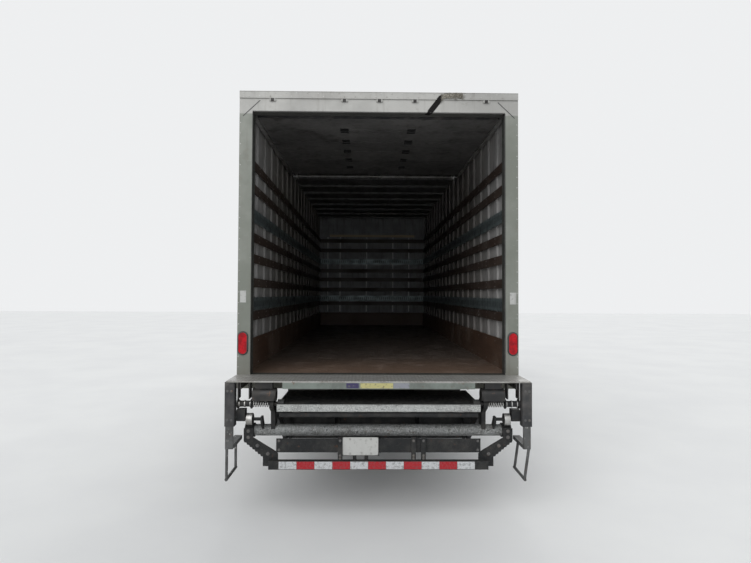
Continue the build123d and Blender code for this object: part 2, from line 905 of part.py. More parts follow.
def plan_taper(half_rear, half_front, y0, y1, mode):
    """A block that narrows towards the front, taken with what is there."""
    plate_z(
        [(-half_rear, y0), (-half_front, y1), (half_front, y1), (half_rear, y0)],
        400, 2000, mode,
    )


with BuildPart() as hood_room:
    plate_x(
        [
            (hood_rear_y - 1, 300),
            (hood_rear_y - 1, hood_rear_top - hood_skin),
            (hood_front_y - 240 - 20, hood_front_top - hood_skin),
            (hood_front_y - 60 - 34, hood_front_top - 90 - 34),
            (hood_front_y - hood_skin, hood_front_top - 270),
            (hood_front_y - hood_skin, 300),
        ],
        hood_skin - hood_rear_half, hood_rear_half - hood_skin,
    )
    plan_taper(
        hood_rear_half - hood_skin, hood_front_half - hood_skin,
        hood_rear_y - 2, hood_front_y, Mode.INTERSECT,
    )

with BuildPart() as hood:
    plate_x(hood_outline, -hood_rear_half, hood_rear_half)
    plan_taper(hood_rear_half, hood_front_half, hood_rear_y, hood_front_y, Mode.INTERSECT)
    fillet(
        hood.faces().filter_by(lambda face: abs(face.normal_at().X) > 0.9).edges()
        .filter_by(lambda edge: edge.center().Z > 1300),
        radius=70,
    )
    for side in (-1, 1):
        plate_x(fender_outline, side * fender_inner, side * fender_half)
    fillet(
        hood.edges().filter_by(
            lambda edge: abs(abs(edge.center().X) - fender_half) < 1 and edge.center().Z > 1000
        ),
        radius=60,
    )
    add(hood_room.part, mode=Mode.SUBTRACT)
    for side in (-1, 1):
        plate_x(
            [
                (hood_rear_y + hood_skin, 500),
                (hood_rear_y + hood_skin, fender_top - 60 - hood_skin),
                (hood_rear_y + 170, fender_top - hood_skin),
                (front_axle_y + 400, fender_top - hood_skin),
                (hood_front_y - 180, fender_top - 160),
                (hood_front_y - 120, lamp_bottom - 60),
                (hood_front_y - 120, 500),
            ],
            side * (fender_inner - 60), side * (fender_half - hood_skin), Mode.SUBTRACT,
        )
        bar_x(
            side * (fender_inner - 80), side * (fender_half + 5),
            front_axle_y, axle_z, arch_radius, Mode.SUBTRACT,
        )
        block(
            side * lamp_inner, side * lamp_outer, hood_front_y - 200, hood_front_y + 5,
            lamp_bottom, lamp_top, Mode.SUBTRACT,
        )
    block(
        -grille_half, grille_half, hood_front_y - 200, hood_front_y + 5,
        grille_bottom, grille_top - 120, Mode.SUBTRACT,
    )
    # hinge eyes beside pockets for the bumper's lugs
    for side in (-1, 1):
        block(
            side * (hood_hinge_x - 4), side * (hood_hinge_x + 22),
            hood_front_y - 60, hood_front_y + 5, hood_hinge_z - 5, hood_hinge_z + 40,
            Mode.SUBTRACT,
        )
        bar_x(
            side * (hood_hinge_x - 4), side * (hood_hinge_x - 30),
            hood_front_y, hood_hinge_z, 18,
        )
        bar_x(
            side * (hood_hinge_x - 3), side * (hood_hinge_x - 34),
            hood_front_y, hood_hinge_z, hood_pin_radius + kingpin_fit, Mode.SUBTRACT,
        )
save(hood, "hood")

grille_bar_count = 7
with BuildPart() as grille:
    grille_height = grille_top - 120 - grille_bottom
    grille_pitch = grille_height / grille_bar_count
    for index in range(grille_bar_count):
        low = grille_bottom + index * grille_pitch
        block(
            -grille_half, grille_half, hood_front_y - 36, hood_front_y - 6,
            low + 4, low + grille_pitch * 0.5,
        )
    for bar_place in (-grille_half + 9, 0, grille_half - 9):
        block(
            bar_place - 9, bar_place + 9, hood_front_y - 40, hood_front_y - 14,
            grille_bottom, grille_bottom + grille_height,
        )
save(grille, "grille")

with BuildPart() as headlamps:
    for side in (-1, 1):
        block(
            side * lamp_inner, side * lamp_outer, hood_front_y - 118, hood_front_y - 62,
            lamp_bottom, lamp_top,
        )
    fillet(headlamps.edges().filter_by(Axis.Z).group_by(Axis.Y)[-1], radius=22)
save(headlamps, "headlamps")

# inside the cab: dashboard with the steering column, two seats and the steering wheel
cab_clear_half = cab_half - cab_wall
wheel_x = -470
wheel_tilt = radians(50)
wheel_centre = Vector(wheel_x, firewall_y - 640, 1700)
wheel_axis = Vector(0, -sin(wheel_tilt), cos(wheel_tilt))
wheel_ring_radius = 225
hub_drop = 39
dash_rear_y = firewall_y - 420

with BuildPart() as dashboard:
    plate_x(
        [
            (firewall_y - cab_wall, cab_floor + 380),
            (firewall_y - cab_wall, cowl_z - 30),
            (dash_rear_y + 120, cowl_z - 40),
            (dash_rear_y, cowl_z - 130),
            (dash_rear_y + 60, cab_floor + 400),
        ],
        4 - cab_clear_half, cab_clear_half - 4,
    )
    with BuildSketch(Plane(origin=wheel_centre - wheel_axis * (hub_drop + 0.3), z_dir=-wheel_axis)):
        Circle(38)
    extrude(amount=380)
save(dashboard, "dashboard")

with BuildPart() as steering_wheel:
    with BuildSketch(Plane(origin=wheel_centre, z_dir=wheel_axis)):
        Circle(wheel_ring_radius + 14)
        Circle(wheel_ring_radius - 14, mode=Mode.SUBTRACT)
    extrude(amount=14, both=True)
    with BuildSketch(Plane(origin=wheel_centre, x_dir=(1, 0, 0), z_dir=wheel_axis)):
        Rectangle(2 * wheel_ring_radius - 10, 44)
        with Locations((0, -wheel_ring_radius / 2)):
            Rectangle(44, wheel_ring_radius)
    extrude(amount=8, both=True)
    with BuildSketch(Plane(origin=wheel_centre - wheel_axis * hub_drop, z_dir=wheel_axis)):
        Circle(70)
    extrude(amount=52)
save(steering_wheel, "steering_wheel")

seat_floor = cab_floor + cab_wall
seats_table = [
    # centre x, width
    (-470, 520),
    (380, 820),
]
with BuildPart() as seats:
    for centre_x, width in seats_table:
        left = centre_x - width / 2
        right = centre_x + width / 2
        plate_x(
            [
                (cab_back_y + 330, seat_floor),
                (cab_back_y + 720, seat_floor),
                (cab_back_y + 720, seat_floor + 190),
                (cab_back_y + 330, seat_floor + 190),
            ],
            left + 60, right - 60,
        )
        plate_x(
            [
                (cab_back_y + 250, seat_floor + 190),
                (cab_back_y + 780, seat_floor + 190),
                (cab_back_y + 790, seat_floor + 330),
                (cab_back_y + 330, seat_floor + 310),
                (cab_back_y + 220, seat_floor + 1050),
                (cab_back_y + 110, seat_floor + 1050),
                (cab_back_y + 150, seat_floor + 190),
            ],
            left, right,
        )
save(seats, "seats")

# cargo body: floor on cross sills, walls with inside posts, roof with bows
shell_rear_y = frame_y + frame_depth
shell_front_y = body_front_y - front_wall_skin
cross_sill_pitch = 305
cross_sill_width = 44
post_pitch = 406
post_width_inside = 50
post_depth = 20
roof_bow_pitch = 610
roof_bow_width = 42
bow_bottom = ceiling - roof_bow_depth

with BuildPart() as cargo_floor:
    block(-inner_half, inner_half, shell_rear_y, shell_front_y, sill_top, floor_height)
save(cargo_floor, "cargo_floor")

with BuildPart() as floor_sills:
    place = shell_rear_y + 60
    while place < shell_front_y - 40:
        block(
            -inner_half, inner_half,
            place - cross_sill_width / 2, place + cross_sill_width / 2,
            cross_sill_bottom, sill_top,
        )
        place += cross_sill_pitch
    for side in (-1, 1):
        block(
            side * (rail_half - long_sill_width), side * rail_half,
            rail_rear_y, shell_front_y - 20, rail_top, cross_sill_bottom,
        )
save(floor_sills, "floor_sills")


def side_wall(side):
    """A side wall: one skin down to its bottom rail, with posts on its inner face."""
    block(
        side * inner_half, side * body_half, shell_rear_y, shell_front_y,
        cross_sill_bottom, ceiling,
    )
    place = shell_rear_y + 120
    while place < shell_front_y - 60:
        block(
            side * (inner_half - post_depth), side * inner_half,
            place - post_width_inside / 2, place + post_width_inside / 2,
            floor_height, bow_bottom,
        )
        place += post_pitch


with BuildPart() as wall_left:
    side_wall(-1)
save(wall_left, "wall_left")

with BuildPart() as wall_right:
    side_wall(1)
save(wall_right, "wall_right")

front_post_places = [-950, -630, 0, 630, 950]
with BuildPart() as wall_front:
    block(-body_half, body_half, shell_front_y, body_front_y, cross_sill_bottom, ceiling)
    for place in front_post_places:
        block(
            place - post_width_inside / 2, place + post_width_inside / 2,
            shell_front_y - post_depth, shell_front_y, floor_height, bow_bottom,
        )
save(wall_front, "wall_front")

with BuildPart() as roof:
    block(-body_half, body_half, shell_rear_y, body_front_y, ceiling, body_top)
    place = shell_rear_y + 300
    while place < shell_front_y - 100:
        block(
            -inner_half, inner_half,
            place - roof_bow_width / 2, place + roof_bow_width / 2, bow_bottom, ceiling,
        )
        place += roof_bow_pitch
save(roof, "roof")

# wooden lining: a scuff board and slats on three walls, and steel cargo rails between them
lining_thickness = lining_depth - post_depth
scuff_height = 300
lining_rows = [
    # height of the middle above the floor, depth of the board
    (scuff_height / 2, scuff_height),
    (520, 90),
    (850, 90),
    (1090, 90),
    (1300, 90),
    (1790, 90),
    (2020, 90),
]
rail_rows = [
    # height of the middle above the floor, depth of the rail
    (640, 128),
    (1520, 128),
]
lining_rear_y = shell_rear_y + 12
lining_front_y = shell_front_y - lining_depth - 2


def lining(rows):
    """Boards or rails of the given rows, on both sides and across the front."""
    for height, depth in rows:
        low = floor_height + height - depth / 2
        for side in (-1, 1):
            block(
                side * clear_half, side * (inner_half - post_depth),
                lining_rear_y, lining_front_y, low, low + depth,
            )
        block(
            2 - clear_half, clear_half - 2,
            shell_front_y - lining_depth, shell_front_y - post_depth, low, low + depth,
        )


with BuildPart() as wood_lining:
    lining(lining_rows)
save(wood_lining, "wood_lining")

with BuildPart() as cargo_rails:
    lining(rail_rows)
save(cargo_rails, "cargo_rails")

# rear frame: posts, header and sill in one welding, with a roof cap above
with BuildPart() as rear_frame:
    block(
        -body_half, body_half, frame_y, shell_rear_y,
        cross_sill_bottom, body_top - cap_height - 3,
    )
    block(
        -opening_half, opening_half, frame_y - 1, shell_rear_y + 1,
        floor_height, opening_top, Mode.SUBTRACT,
    )
    block(-body_half, body_half, frame_y - 6, shell_rear_y, body_top - cap_height, body_top)
    block(
        -body_half + 2, body_half - 2, frame_y + 6, shell_rear_y,
        body_top - cap_height - 3, body_top - cap_height,
    )
save(rear_frame, "rear_frame")

# roll-up door: wooden sections stored under the roof between two tracks
section_count = 6
section_length = 405
section_gap = 4
section_thickness = 19
door_run_z = opening_top + 45
track_width = 40
track_inner = clear_half - track_width
door_start_y = shell_rear_y + 190

with BuildPart() as roll_up_door:
    for index in range(section_count):
        start = door_start_y + index * section_length
        block(
            0.3 - track_inner, track_inner - 0.3,
            start, start + section_length - section_gap,
            door_run_z, door_run_z + section_thickness,
        )
save(roll_up_door, "roll_up_door")

track_rear_y = shell_rear_y + 14
track_lip = 50
track_bend = 170
track_top = door_run_z + 35
track_front_y = door_start_y + section_count * section_length + 60
with BuildPart() as door_tracks:
    for side in (-1, 1):
        with BuildSketch(Plane.YZ.offset(side * track_inner)):
            with BuildLine():
                bend_centre = (track_rear_y + track_bend, track_top - track_bend)
                Line((track_rear_y, floor_height), (track_rear_y, track_top - track_bend))
                CenterArc(bend_centre, track_bend, 180, -90)
                Line((track_rear_y + track_bend, track_top), (track_front_y, track_top))
                Line((track_front_y, track_top), (track_front_y, track_top - track_lip))
                Line(
                    (track_front_y, track_top - track_lip),
                    (track_rear_y + track_bend, track_top - track_lip),
                )
                CenterArc(bend_centre, track_bend - track_lip, 90, 90)
                Line(
                    (track_rear_y + track_lip, track_top - track_bend),
                    (track_rear_y + track_lip, floor_height),
                )
                Line((track_rear_y + track_lip, floor_height), (track_rear_y, floor_height))
            make_face()
        extrude(amount=side * track_width)
save(door_tracks, "door_tracks")

# lamps: red ovals in the rear posts, small markers on the header and the cab roof
tail_lamp_z = floor_height + 287
tail_lamp_x = 1243
tail_lamp_width = 75
tail_lamp_height = 195
marker_z = body_top - cap_height - 12
header_markers = [-990, -325, 0, 330, 995]
cab_markers = [-760, -200, 0, 200, 760]

with BuildPart() as tail_lamps:
    with BuildSketch(Plane.XZ.offset(-frame_y)):
        for side in (-1, 1):
            with Locations((side * tail_lamp_x, tail_lamp_z)):
                SlotOverall(tail_lamp_height, tail_lamp_width, rotation=90)
    extrude(amount=12)
save(tail_lamps, "tail_lamps")

with BuildPart() as marker_lamps:
    with BuildSketch(Plane.XZ.offset(-frame_y)):
        for place in header_markers:
            with Locations((place, marker_z - 6)):
                RectangleRounded(62, 24, 10)
    extrude(amount=14)
    with BuildSketch(Plane.XY.offset(cab_roof)):
        for place in cab_markers:
            with Locations((place, roof_front_y - 190)):
                RectangleRounded(110, 40, 16)
    extrude(amount=30)
save(marker_lamps, "marker_lamps")

# bed extension: a plate behind the sill on ribs, with a channel along its rear edge
extension_plate = 12
extension_channel_half = 820
extension_channel_depth = 54
extension_rib_depth = 60
extension_ribs = [-1180, -760, -380, 0, 380, 760, 1180]
cover_inner = 892
cover_outer = 1079
cover_y = rear_y + 64
cover_z = floor_height - 124
cover_radius = 58
cover_wall = 6
cover_bottom = floor_height - 170
cover_disc = 56
bracket_places = [1100, 1196]
bracket_bottom = floor_height - 156

with BuildPart() as sill_extension:
    # spring covers: half tubes open below, with a disc across the inner end
    for side in (-1, 1):
        bar_x(side * cover_inner, side * cover_outer, cover_y, cover_z, cover_radius)
        block(
            side * cover_inner, side * cover_outer,
            cover_y - cover_radius, cover_y + cover_radius, cover_bottom, cover_z,
        )
        bar_x(
            side * (cover_inner - 1), side * (cover_outer + 1),
            cover_y, cover_z, cover_radius - cover_wall, Mode.SUBTRACT,
        )
        block(
            side * (cover_inner - 1), side * (cover_outer + 1),
            cover_y - cover_radius + cover_wall, cover_y + cover_radius - cover_wall,
            cover_z - cover_radius - 1, cover_z, Mode.SUBTRACT,
        )
        bar_x(side * (cover_inner - 12), side * cover_inner, cover_y, cover_z, cover_disc)
        block(
            side * (cover_inner + 20), side * (cover_outer - 20), cover_y - 24, cover_y + 30,
            cover_z + cover_radius - cover_wall, floor_height - extension_plate,
        )
        for place in bracket_places:
            block(
                side * place, side * (place + 10), rear_y + 24, rear_y + 112,
                bracket_bottom, floor_height - extension_plate,
            )
    block(-body_half, body_half, rear_y, frame_y, floor_height - extension_plate, floor_height)
    block(
        -extension_channel_half, extension_channel_half, rear_y, rear_y + 50,
        floor_height - extension_plate - extension_channel_depth, floor_height - extension_plate,
    )
    for place in extension_ribs:
        block(
            place - 6, place + 6, rear_y + 20, frame_y,
            floor_height - extension_plate - extension_rib_depth, floor_height - extension_plate,
        )
save(sill_extension, "sill_extension")

# dock bumpers at both ends of the extension, and the side steps below them
dock_bumper_inner = 1225
dock_bumper_outer = 1310
dock_bumper_bottom = floor_height - 385
step_bottom = 326
step_rail_z = 610
step_depth = 340
step_bar_radius = 13

with BuildPart() as dock_bumpers:
    for side in (-1, 1):
        block(
            side * dock_bumper_inner, side * dock_bumper_outer, rear_y + 2, rear_y + 78,
            dock_bumper_bottom, floor_height - extension_plate,
        )
    fillet(dock_bumpers.edges().filter_by(Axis.Z).group_by(Axis.Y)[0], radius=10)
save(dock_bumpers, "dock_bumpers")

step_table = [
    # side, x of the legs at the top, x of the legs at the bottom
    (-1, 1288, 1288),
    (1, 1284, 1246),
]
with BuildPart() as side_steps:
    for side, top_x, bottom_x in step_table:
        block(
            side * (dock_bumper_inner + 10), side * (top_x + step_bar_radius),
            rear_y + 6, rear_y + 26, step_rail_z - 16, dock_bumper_bottom,
        )
        block(
            side * (dock_bumper_inner + 10), side * (top_x + step_bar_radius),
            rear_y + 26, rear_y + step_depth, step_rail_z - 16, step_rail_z + 16,
        )
        for depth in (16, step_depth - 16):
            rod(
                (side * top_x, rear_y + depth, step_rail_z),
                (side * bottom_x, rear_y + depth, step_bottom + step_bar_radius),
                step_bar_radius - 1,
            )
        bar_y(
            side * bottom_x, rear_y + 2, rear_y + step_depth - 2,
            step_bottom + step_bar_radius, step_bar_radius,
        )
save(side_steps, "side_steps")

# mudflaps behind the rear wheels, hung from bars on the frame
flap_y = rear_axle_y - 580
with BuildPart() as mudflaps:
    for side in (-1, 1):
        block(side * 620, side * 1225, flap_y - 5, flap_y + 5, 190, 900)
        block(side * rail_half, side * 1225, flap_y - 14, flap_y + 14, 872, 900)
save(mudflaps, "mudflaps")

# tuck-under liftgate. Its arms turn about a torsion tube ahead of the folded platform.
gate_pivot_y = rear_y + 845
gate_pivot_z = 500
arm_length = 900
arm_inner = 902
arm_outer = 938
arm_half_depth = 42
hinge_z = floor_height - 205
torsion_radius = 38
torsion_fit = 0.1
gate_tube_radius = 50
gate_tube_half = 1165
gate_tube_y = rear_y + 185
gate_tube_z = floor_height - 456
crank_length = 150
crank_angle = radians(240)
crank_inner = 22
crank_outer = 36
platform_pin_radius = 18
ear_inner = 815
ear_outer = 868
hinge_shaft_end = 1215
hinge_shaft_radius = 14
collar_radius = 42
collar_start = 1088
roller_y = rear_y + 90
roller_z = floor_height - 340
roller_radius = 50
stow_angle = atan2(hinge_z - gate_pivot_z, (arm_length**2 - (hinge_z - gate_pivot_z) ** 2) ** 0.5)
hinge_y = gate_pivot_y - arm_length * cos(stow_angle)
crank_y = gate_pivot_y + crank_length * cos(crank_angle)
crank_z = gate_pivot_z + crank_length * sin(crank_angle)
gate_beam_y = gate_pivot_y + 75
gate_beam_depth = 120
gate_beam_bottom = rail_bottom - 130
gate_beam_half = 1024

with BuildPart() as gate_main_frame:
    block(
        -gate_beam_half, gate_beam_half, gate_beam_y, gate_beam_y + gate_beam_depth,
        gate_beam_bottom, gate_beam_bottom + gate_beam_depth,
    )
    for side in (-1, 1):
        # hanger on the rail, two bearings for the torsion tube, strut up to the rear sill
        block(
            side * rail_half, side * (rail_half + 16),
            gate_beam_y - 60, gate_beam_y + gate_beam_depth + 60,
            gate_beam_bottom, rail_top - 20,
        )
        for bearing_x in (380, 862):
            plate_x(
                [
                    (gate_beam_y + 20, gate_beam_bottom),
                    (gate_beam_y + 20, gate_beam_bottom + gate_beam_depth),
                    (gate_beam_y, gate_beam_bottom + gate_beam_depth),
                    (gate_pivot_y - 62, gate_pivot_z + 20),
                    (gate_pivot_y - 62, gate_pivot_z - 30),
                    (gate_pivot_y - 30, gate_pivot_z - 62),
                    (gate_pivot_y + 30, gate_pivot_z - 62),
                ],
                side * bearing_x, side * (bearing_x + 16),
            )
            bar_x(
                side * (bearing_x - 1), side * (bearing_x + 17),
                gate_pivot_y, gate_pivot_z, torsion_radius + torsion_fit, Mode.SUBTRACT,
            )
        plate_x(
            [
                (gate_beam_y, gate_beam_bottom),
                (gate_beam_y + gate_beam_depth, gate_beam_bottom),
                (gate_beam_y + gate_beam_depth, rail_bottom),
                (shell_rear_y, cross_sill_bottom),
                (frame_y + 4, cross_sill_bottom),
                (frame_y + 4, cross_sill_bottom - 50),
            ],
            side * (gate_beam_half - 16), side * gate_beam_half,
        )
save(gate_main_frame, "gate_main_frame")

with BuildPart() as gate_lift_arms:
    bar_x(-arm_inner, arm_inner, gate_pivot_y, gate_pivot_z, torsion_radius)
    rise = arm_half_depth * cos(stow_angle)
    run = arm_half_depth * sin(stow_angle)
    for side in (-1, 1):
        plate_x(
            [
                (gate_pivot_y + run, gate_pivot_z + rise),
                (hinge_y + run, hinge_z + rise),
                (hinge_y - run, hinge_z - rise),
                (gate_pivot_y - run, gate_pivot_z - rise),
            ],
            side * arm_inner, side * arm_outer,
        )
        bar_x(side * arm_inner, side * arm_outer, gate_pivot_y, gate_pivot_z, 58)
        bar_x(side * arm_inner, side * arm_outer, hinge_y, hinge_z, arm_half_depth)
        bar_x(side * ear_inner, side * arm_inner, hinge_y, hinge_z, platform_pin_radius)
        # shaft for the spring, then a sleeve between two collars
        bar_x(side * arm_outer, side * hinge_shaft_end, hinge_y, hinge_z, hinge_shaft_radius)
        for place in (collar_start, hinge_shaft_end - 10):
            bar_x(side * place, side * (place + 10), hinge_y, hinge_z, collar_radius)
        bar_x(side * collar_start, side * hinge_shaft_end, hinge_y, hinge_z, collar_radius - 16)
        # lug that carries the cross tube below each arm
        plate_x(
            [
                (gate_tube_y - 50, gate_tube_z),
                (gate_tube_y + 50, gate_tube_z),
                (gate_tube_y + 90, gate_tube_z + 100),
                (gate_tube_y - 60, gate_tube_z + 190),
            ],
            side * arm_inner, side * arm_outer,
        )
        # roller and bump block on a stub shaft behind the tube
        plate_x(
            [
                (gate_tube_y - 30, gate_tube_z),
                (gate_tube_y + 30, gate_tube_z),
                (roller_y + 28, roller_z + 24),
                (roller_y - 24, roller_z + 24),
                (roller_y - 28, roller_z - 24),
            ],
            side * 1000, side * 1016,
        )
        bar_x(side * 1000, side * (hinge_shaft_end + 3), roller_y, roller_z, hinge_shaft_radius)
        bar_x(side * 1084, side * 1137, roller_y, roller_z, roller_radius)
        block(
            side * 1146, side * (hinge_shaft_end + 3), roller_y - 40, roller_y + 40,
            roller_z - 10, roller_z + 88,
        )
        # crank cheek on the torsion tube
        plate_x(
            [
                (gate_pivot_y - 46, gate_pivot_z),
                (gate_pivot_y + 46, gate_pivot_z),
                (crank_y + 30, crank_z - 10),
                (crank_y, crank_z - 32),
                (crank_y - 30, crank_z),
            ],
            side * crank_inner, side * crank_outer,
        )
    bar_x(-gate_tube_half, gate_tube_half, gate_tube_y, gate_tube_z, gate_tube_radius)
    bar_x(-crank_outer, crank_outer, crank_y, crank_z, gate_pin_radius)
save(gate_lift_arms, "gate_lift_arms")

spring_radius = 30
with BuildPart() as gate_springs:
    for side in (-1, 1):
        bar_x(side * (arm_outer + 2), side * (collar_start - 1), hinge_y, hinge_z, spring_radius)
        bar_x(
            side * (arm_outer + 1), side * collar_start,
            hinge_y, hinge_z, hinge_shaft_radius, Mode.SUBTRACT,
        )
save(gate_springs, "gate_springs")

# folded platform: the platform proper on top, the flip-over half on hinge blocks beneath it
platform_half = 868
platform_rear_y = rear_y + 8
platform_length = 690
platform_bottom = hinge_z - 57
platform_top = hinge_z + 5
flipover_half = 850
flipover_gap = 8
flipover_thickness = 42
flipover_hinges = [-700, -240, 240, 700]

with BuildPart() as gate_platform:
    block(
        -platform_half, platform_half, platform_rear_y, platform_rear_y + platform_length,
        platform_bottom, platform_top,
    )
    chamfer(gate_platform.edges().filter_by(Axis.X).group_by(Axis.Y)[0], length=6)
    for side in (-1, 1):
        bar_x(side * ear_inner, side * ear_outer, hinge_y, hinge_z, 38)
        bar_x(
            side * (ear_inner - 1), side * (ear_outer + 1), hinge_y, hinge_z,
            platform_pin_radius + kingpin_fit, Mode.SUBTRACT,
        )
    # hinge blocks down to the flip-over half
    for place in flipover_hinges:
        block(
            place - 30, place + 30, platform_rear_y + 14, platform_rear_y + 60,
            platform_bottom - flipover_gap, platform_bottom,
        )
save(gate_platform, "gate_platform")

with BuildPart() as gate_flipover:
    block(
        -flipover_half, flipover_half, platform_rear_y + 14, platform_rear_y + 620,
        platform_bottom - flipover_gap - flipover_thickness, platform_bottom - flipover_gap,
    )
    fillet(gate_flipover.edges().filter_by(Axis.X).group_by(Axis.Y)[0], radius=16)
save(gate_flipover, "gate_flipover")

# underride guard: swings on the ends of the cross tube and carries the plate holder
guard_bar_half = 838
guard_bar_bottom = gate_tube_z - 296
guard_bar_top = gate_tube_z - 224
guard_bar_y = rear_y + 20
guard_plate_y = rear_y + 96
guard_outer = 1165
guard_sleeve_length = 80
guard_sleeve_radius = 61
guard_foot_inner = 869
guard_foot_outer = 998
guard_tooth_count = 7
guard_tooth = 9
guard_panel_bottom = gate_tube_z - 163
guard_panel_top = gate_tube_z - 45
guard_straps = [-330, 300, 385]
licence_x = -156
licence_z = gate_tube_z - 108
licence_hole_x = 178
licence_hole_z = 121
holder_half_x = 160
holder_half_z = 80


def toothed_edge(start, end, count, depth):
    """The points of a straight edge cut into teeth that stand out from it."""
    run_x = (end[0] - start[0]) / count
    run_z = (end[1] - start[1]) / count
    length = (run_x**2 + run_z**2) ** 0.5
    points = []
    for step in range(count):
        points.append((start[0] + run_x * step, start[1] + run_z * step))
        points.append(
            (
                start[0] + run_x * (step + 0.5) + run_z / length * depth,
                start[1] + run_z * (step + 0.5) - run_x / length * depth,
            )
        )
    points.append(end)
    return points


guard_side = [
    (guard_outer, gate_tube_z + 33),
    (guard_outer - guard_sleeve_length, gate_tube_z + 33),
    (guard_outer - guard_sleeve_length, gate_tube_z - 46),
    (guard_foot_inner + 24, guard_bar_top + 62),
    (guard_foot_inner, guard_bar_top + 40),
    (guard_foot_inner, guard_bar_bottom + 6),
    (guard_foot_outer, guard_bar_bottom + 6),
    *toothed_edge(
        (guard_foot_outer, guard_bar_top + 16), (guard_outer, gate_tube_z - 70),
        guard_tooth_count, guard_tooth,
    ),
]

with BuildPart() as gate_guard:
    block(
        -guard_foot_outer + 60, guard_foot_outer - 60, guard_bar_y, guard_bar_y + 50,
        guard_bar_bottom, guard_bar_top,
    )
    for side in (-1, 1):
        plate_y(
            [(side * x, z) for x, z in guard_side],
            guard_plate_y, guard_plate_y + 16,
        )
        block(
            side * guard_foot_inner, side * (guard_foot_outer - 60),
            guard_bar_y + 50, guard_plate_y + 16, guard_bar_bottom + 6, guard_bar_top,
        )
        block(
            side * (guard_outer - guard_sleeve_length), side * guard_outer,
            guard_plate_y, gate_tube_y, gate_tube_z - 20, gate_tube_z + 20,
        )
        bar_x(
            side * (guard_outer - guard_sleeve_length), side * guard_outer,
            gate_tube_y, gate_tube_z, guard_sleeve_radius,
        )
        bar_x(
            side * (guard_outer - guard_sleeve_length - 20), side * (guard_outer + 10),
            gate_tube_y, gate_tube_z, gate_tube_radius + torsion_fit, Mode.SUBTRACT,
        )
    # panel behind the bar on upright straps, with the plate holder in front of it
    block(
        -guard_foot_inner - 10, guard_foot_inner + 10, guard_bar_y + 44, guard_bar_y + 50,
        guard_panel_bottom, guard_panel_top,
    )
    for side in (-1, 1):
        block(
            side * (guard_foot_inner - 6), side * (guard_foot_inner + 10),
            guard_bar_y + 44, guard_plate_y + 16, guard_panel_bottom, guard_panel_bottom + 40,
        )
    for place in (licence_x - 50, licence_x + 50):
        block(
            place - 16, place + 16, guard_bar_y + 38, guard_bar_y + 50,
            guard_bar_top - 4, guard_panel_top,
        )
    for place in guard_straps:
        block(
            place - 20, place + 20, guard_bar_y + 26, guard_bar_y + 50,
            guard_bar_top - 4, guard_panel_top + 14,
        )
    block(
        licence_x - holder_half_x, licence_x + holder_half_x, guard_bar_y + 35, guard_bar_y + 38,
        licence_z - holder_half_z, licence_z + holder_half_z,
    )
    with BuildSketch(Plane.XZ.offset(-(guard_bar_y + 30))):
        with Locations((licence_x, licence_z)):
            with GridLocations(licence_hole_x, licence_hole_z, 2, 2):
                Circle(3.5)
    extrude(amount=-30, mode=Mode.SUBTRACT)
save(gate_guard, "gate_guard")

# lift cylinder between the frame's lugs and the crank
barrel_y = gate_cylinder_y
eye_offset = Vector(0, -0.9, -5.8)
barrel_pin = Vector(0, barrel_y, barrel_pivot_z)
rod_eye = Vector(0, crank_y, crank_z) + eye_offset
cylinder_length = (rod_eye - barrel_pin).length
cylinder_way = (rod_eye - barrel_pin).normalized()
barrel_radius = 44
barrel_length = 470
rod_radius = 20
rod_length = 420
rod_fit = 0.06
eye_half = 18

with BuildPart() as gate_cylinder_barrel:
    with BuildSketch(Plane(origin=barrel_pin + cylinder_way * 60, z_dir=cylinder_way)):
        Circle(barrel_radius)
    extrude(amount=barrel_length)
    block(
        -eye_half, eye_half, barrel_y - 90, barrel_y,
        barrel_pivot_z - 34, barrel_pivot_z + 22,
    )
    bar_x(-eye_half, eye_half, barrel_y, barrel_pivot_z, 36)
    bar_x(
        -eye_half - 1, eye_half + 1, barrel_y, barrel_pivot_z,
        gate_pin_radius + kingpin_fit, Mode.SUBTRACT,
    )
    with BuildSketch(Plane(origin=barrel_pin + cylinder_way * 130, z_dir=cylinder_way)):
        Circle(rod_radius + rod_fit)
    extrude(amount=barrel_length, mode=Mode.SUBTRACT)
save(gate_cylinder_barrel, "gate_cylinder_barrel")

with BuildPart() as gate_cylinder_rod:
    with BuildSketch(Plane(origin=rod_eye - cylinder_way * 30, z_dir=-cylinder_way)):
        Circle(rod_radius)
    extrude(amount=rod_length)
    bar_x(-eye_half, eye_half, rod_eye.Y, rod_eye.Z, 38)
    bar_x(
        -eye_half - 1, eye_half + 1, rod_eye.Y, rod_eye.Z, gate_pin_radius + 10, Mode.SUBTRACT,
    )
save(gate_cylinder_rod, "gate_cylinder_rod")
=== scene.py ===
import math
import random

import bmesh
import bpy
from mathutils import Matrix, Vector


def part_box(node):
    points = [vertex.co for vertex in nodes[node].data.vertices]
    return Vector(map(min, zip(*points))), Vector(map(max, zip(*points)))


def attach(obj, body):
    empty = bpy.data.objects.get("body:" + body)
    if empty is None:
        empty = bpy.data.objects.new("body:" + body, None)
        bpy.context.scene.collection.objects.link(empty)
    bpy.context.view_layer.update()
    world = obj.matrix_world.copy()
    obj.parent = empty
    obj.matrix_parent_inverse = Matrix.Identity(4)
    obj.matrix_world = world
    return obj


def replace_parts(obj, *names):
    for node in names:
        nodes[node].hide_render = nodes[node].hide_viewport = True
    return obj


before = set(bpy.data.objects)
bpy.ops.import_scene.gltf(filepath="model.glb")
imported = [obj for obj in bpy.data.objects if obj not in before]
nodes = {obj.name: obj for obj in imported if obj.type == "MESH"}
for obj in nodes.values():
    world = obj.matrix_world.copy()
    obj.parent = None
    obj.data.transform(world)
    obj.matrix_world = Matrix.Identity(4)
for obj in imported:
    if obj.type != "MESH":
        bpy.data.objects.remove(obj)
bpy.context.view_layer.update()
print("frame loaded:", len(nodes), "nodes")


# shader graphs, written as sums of fields

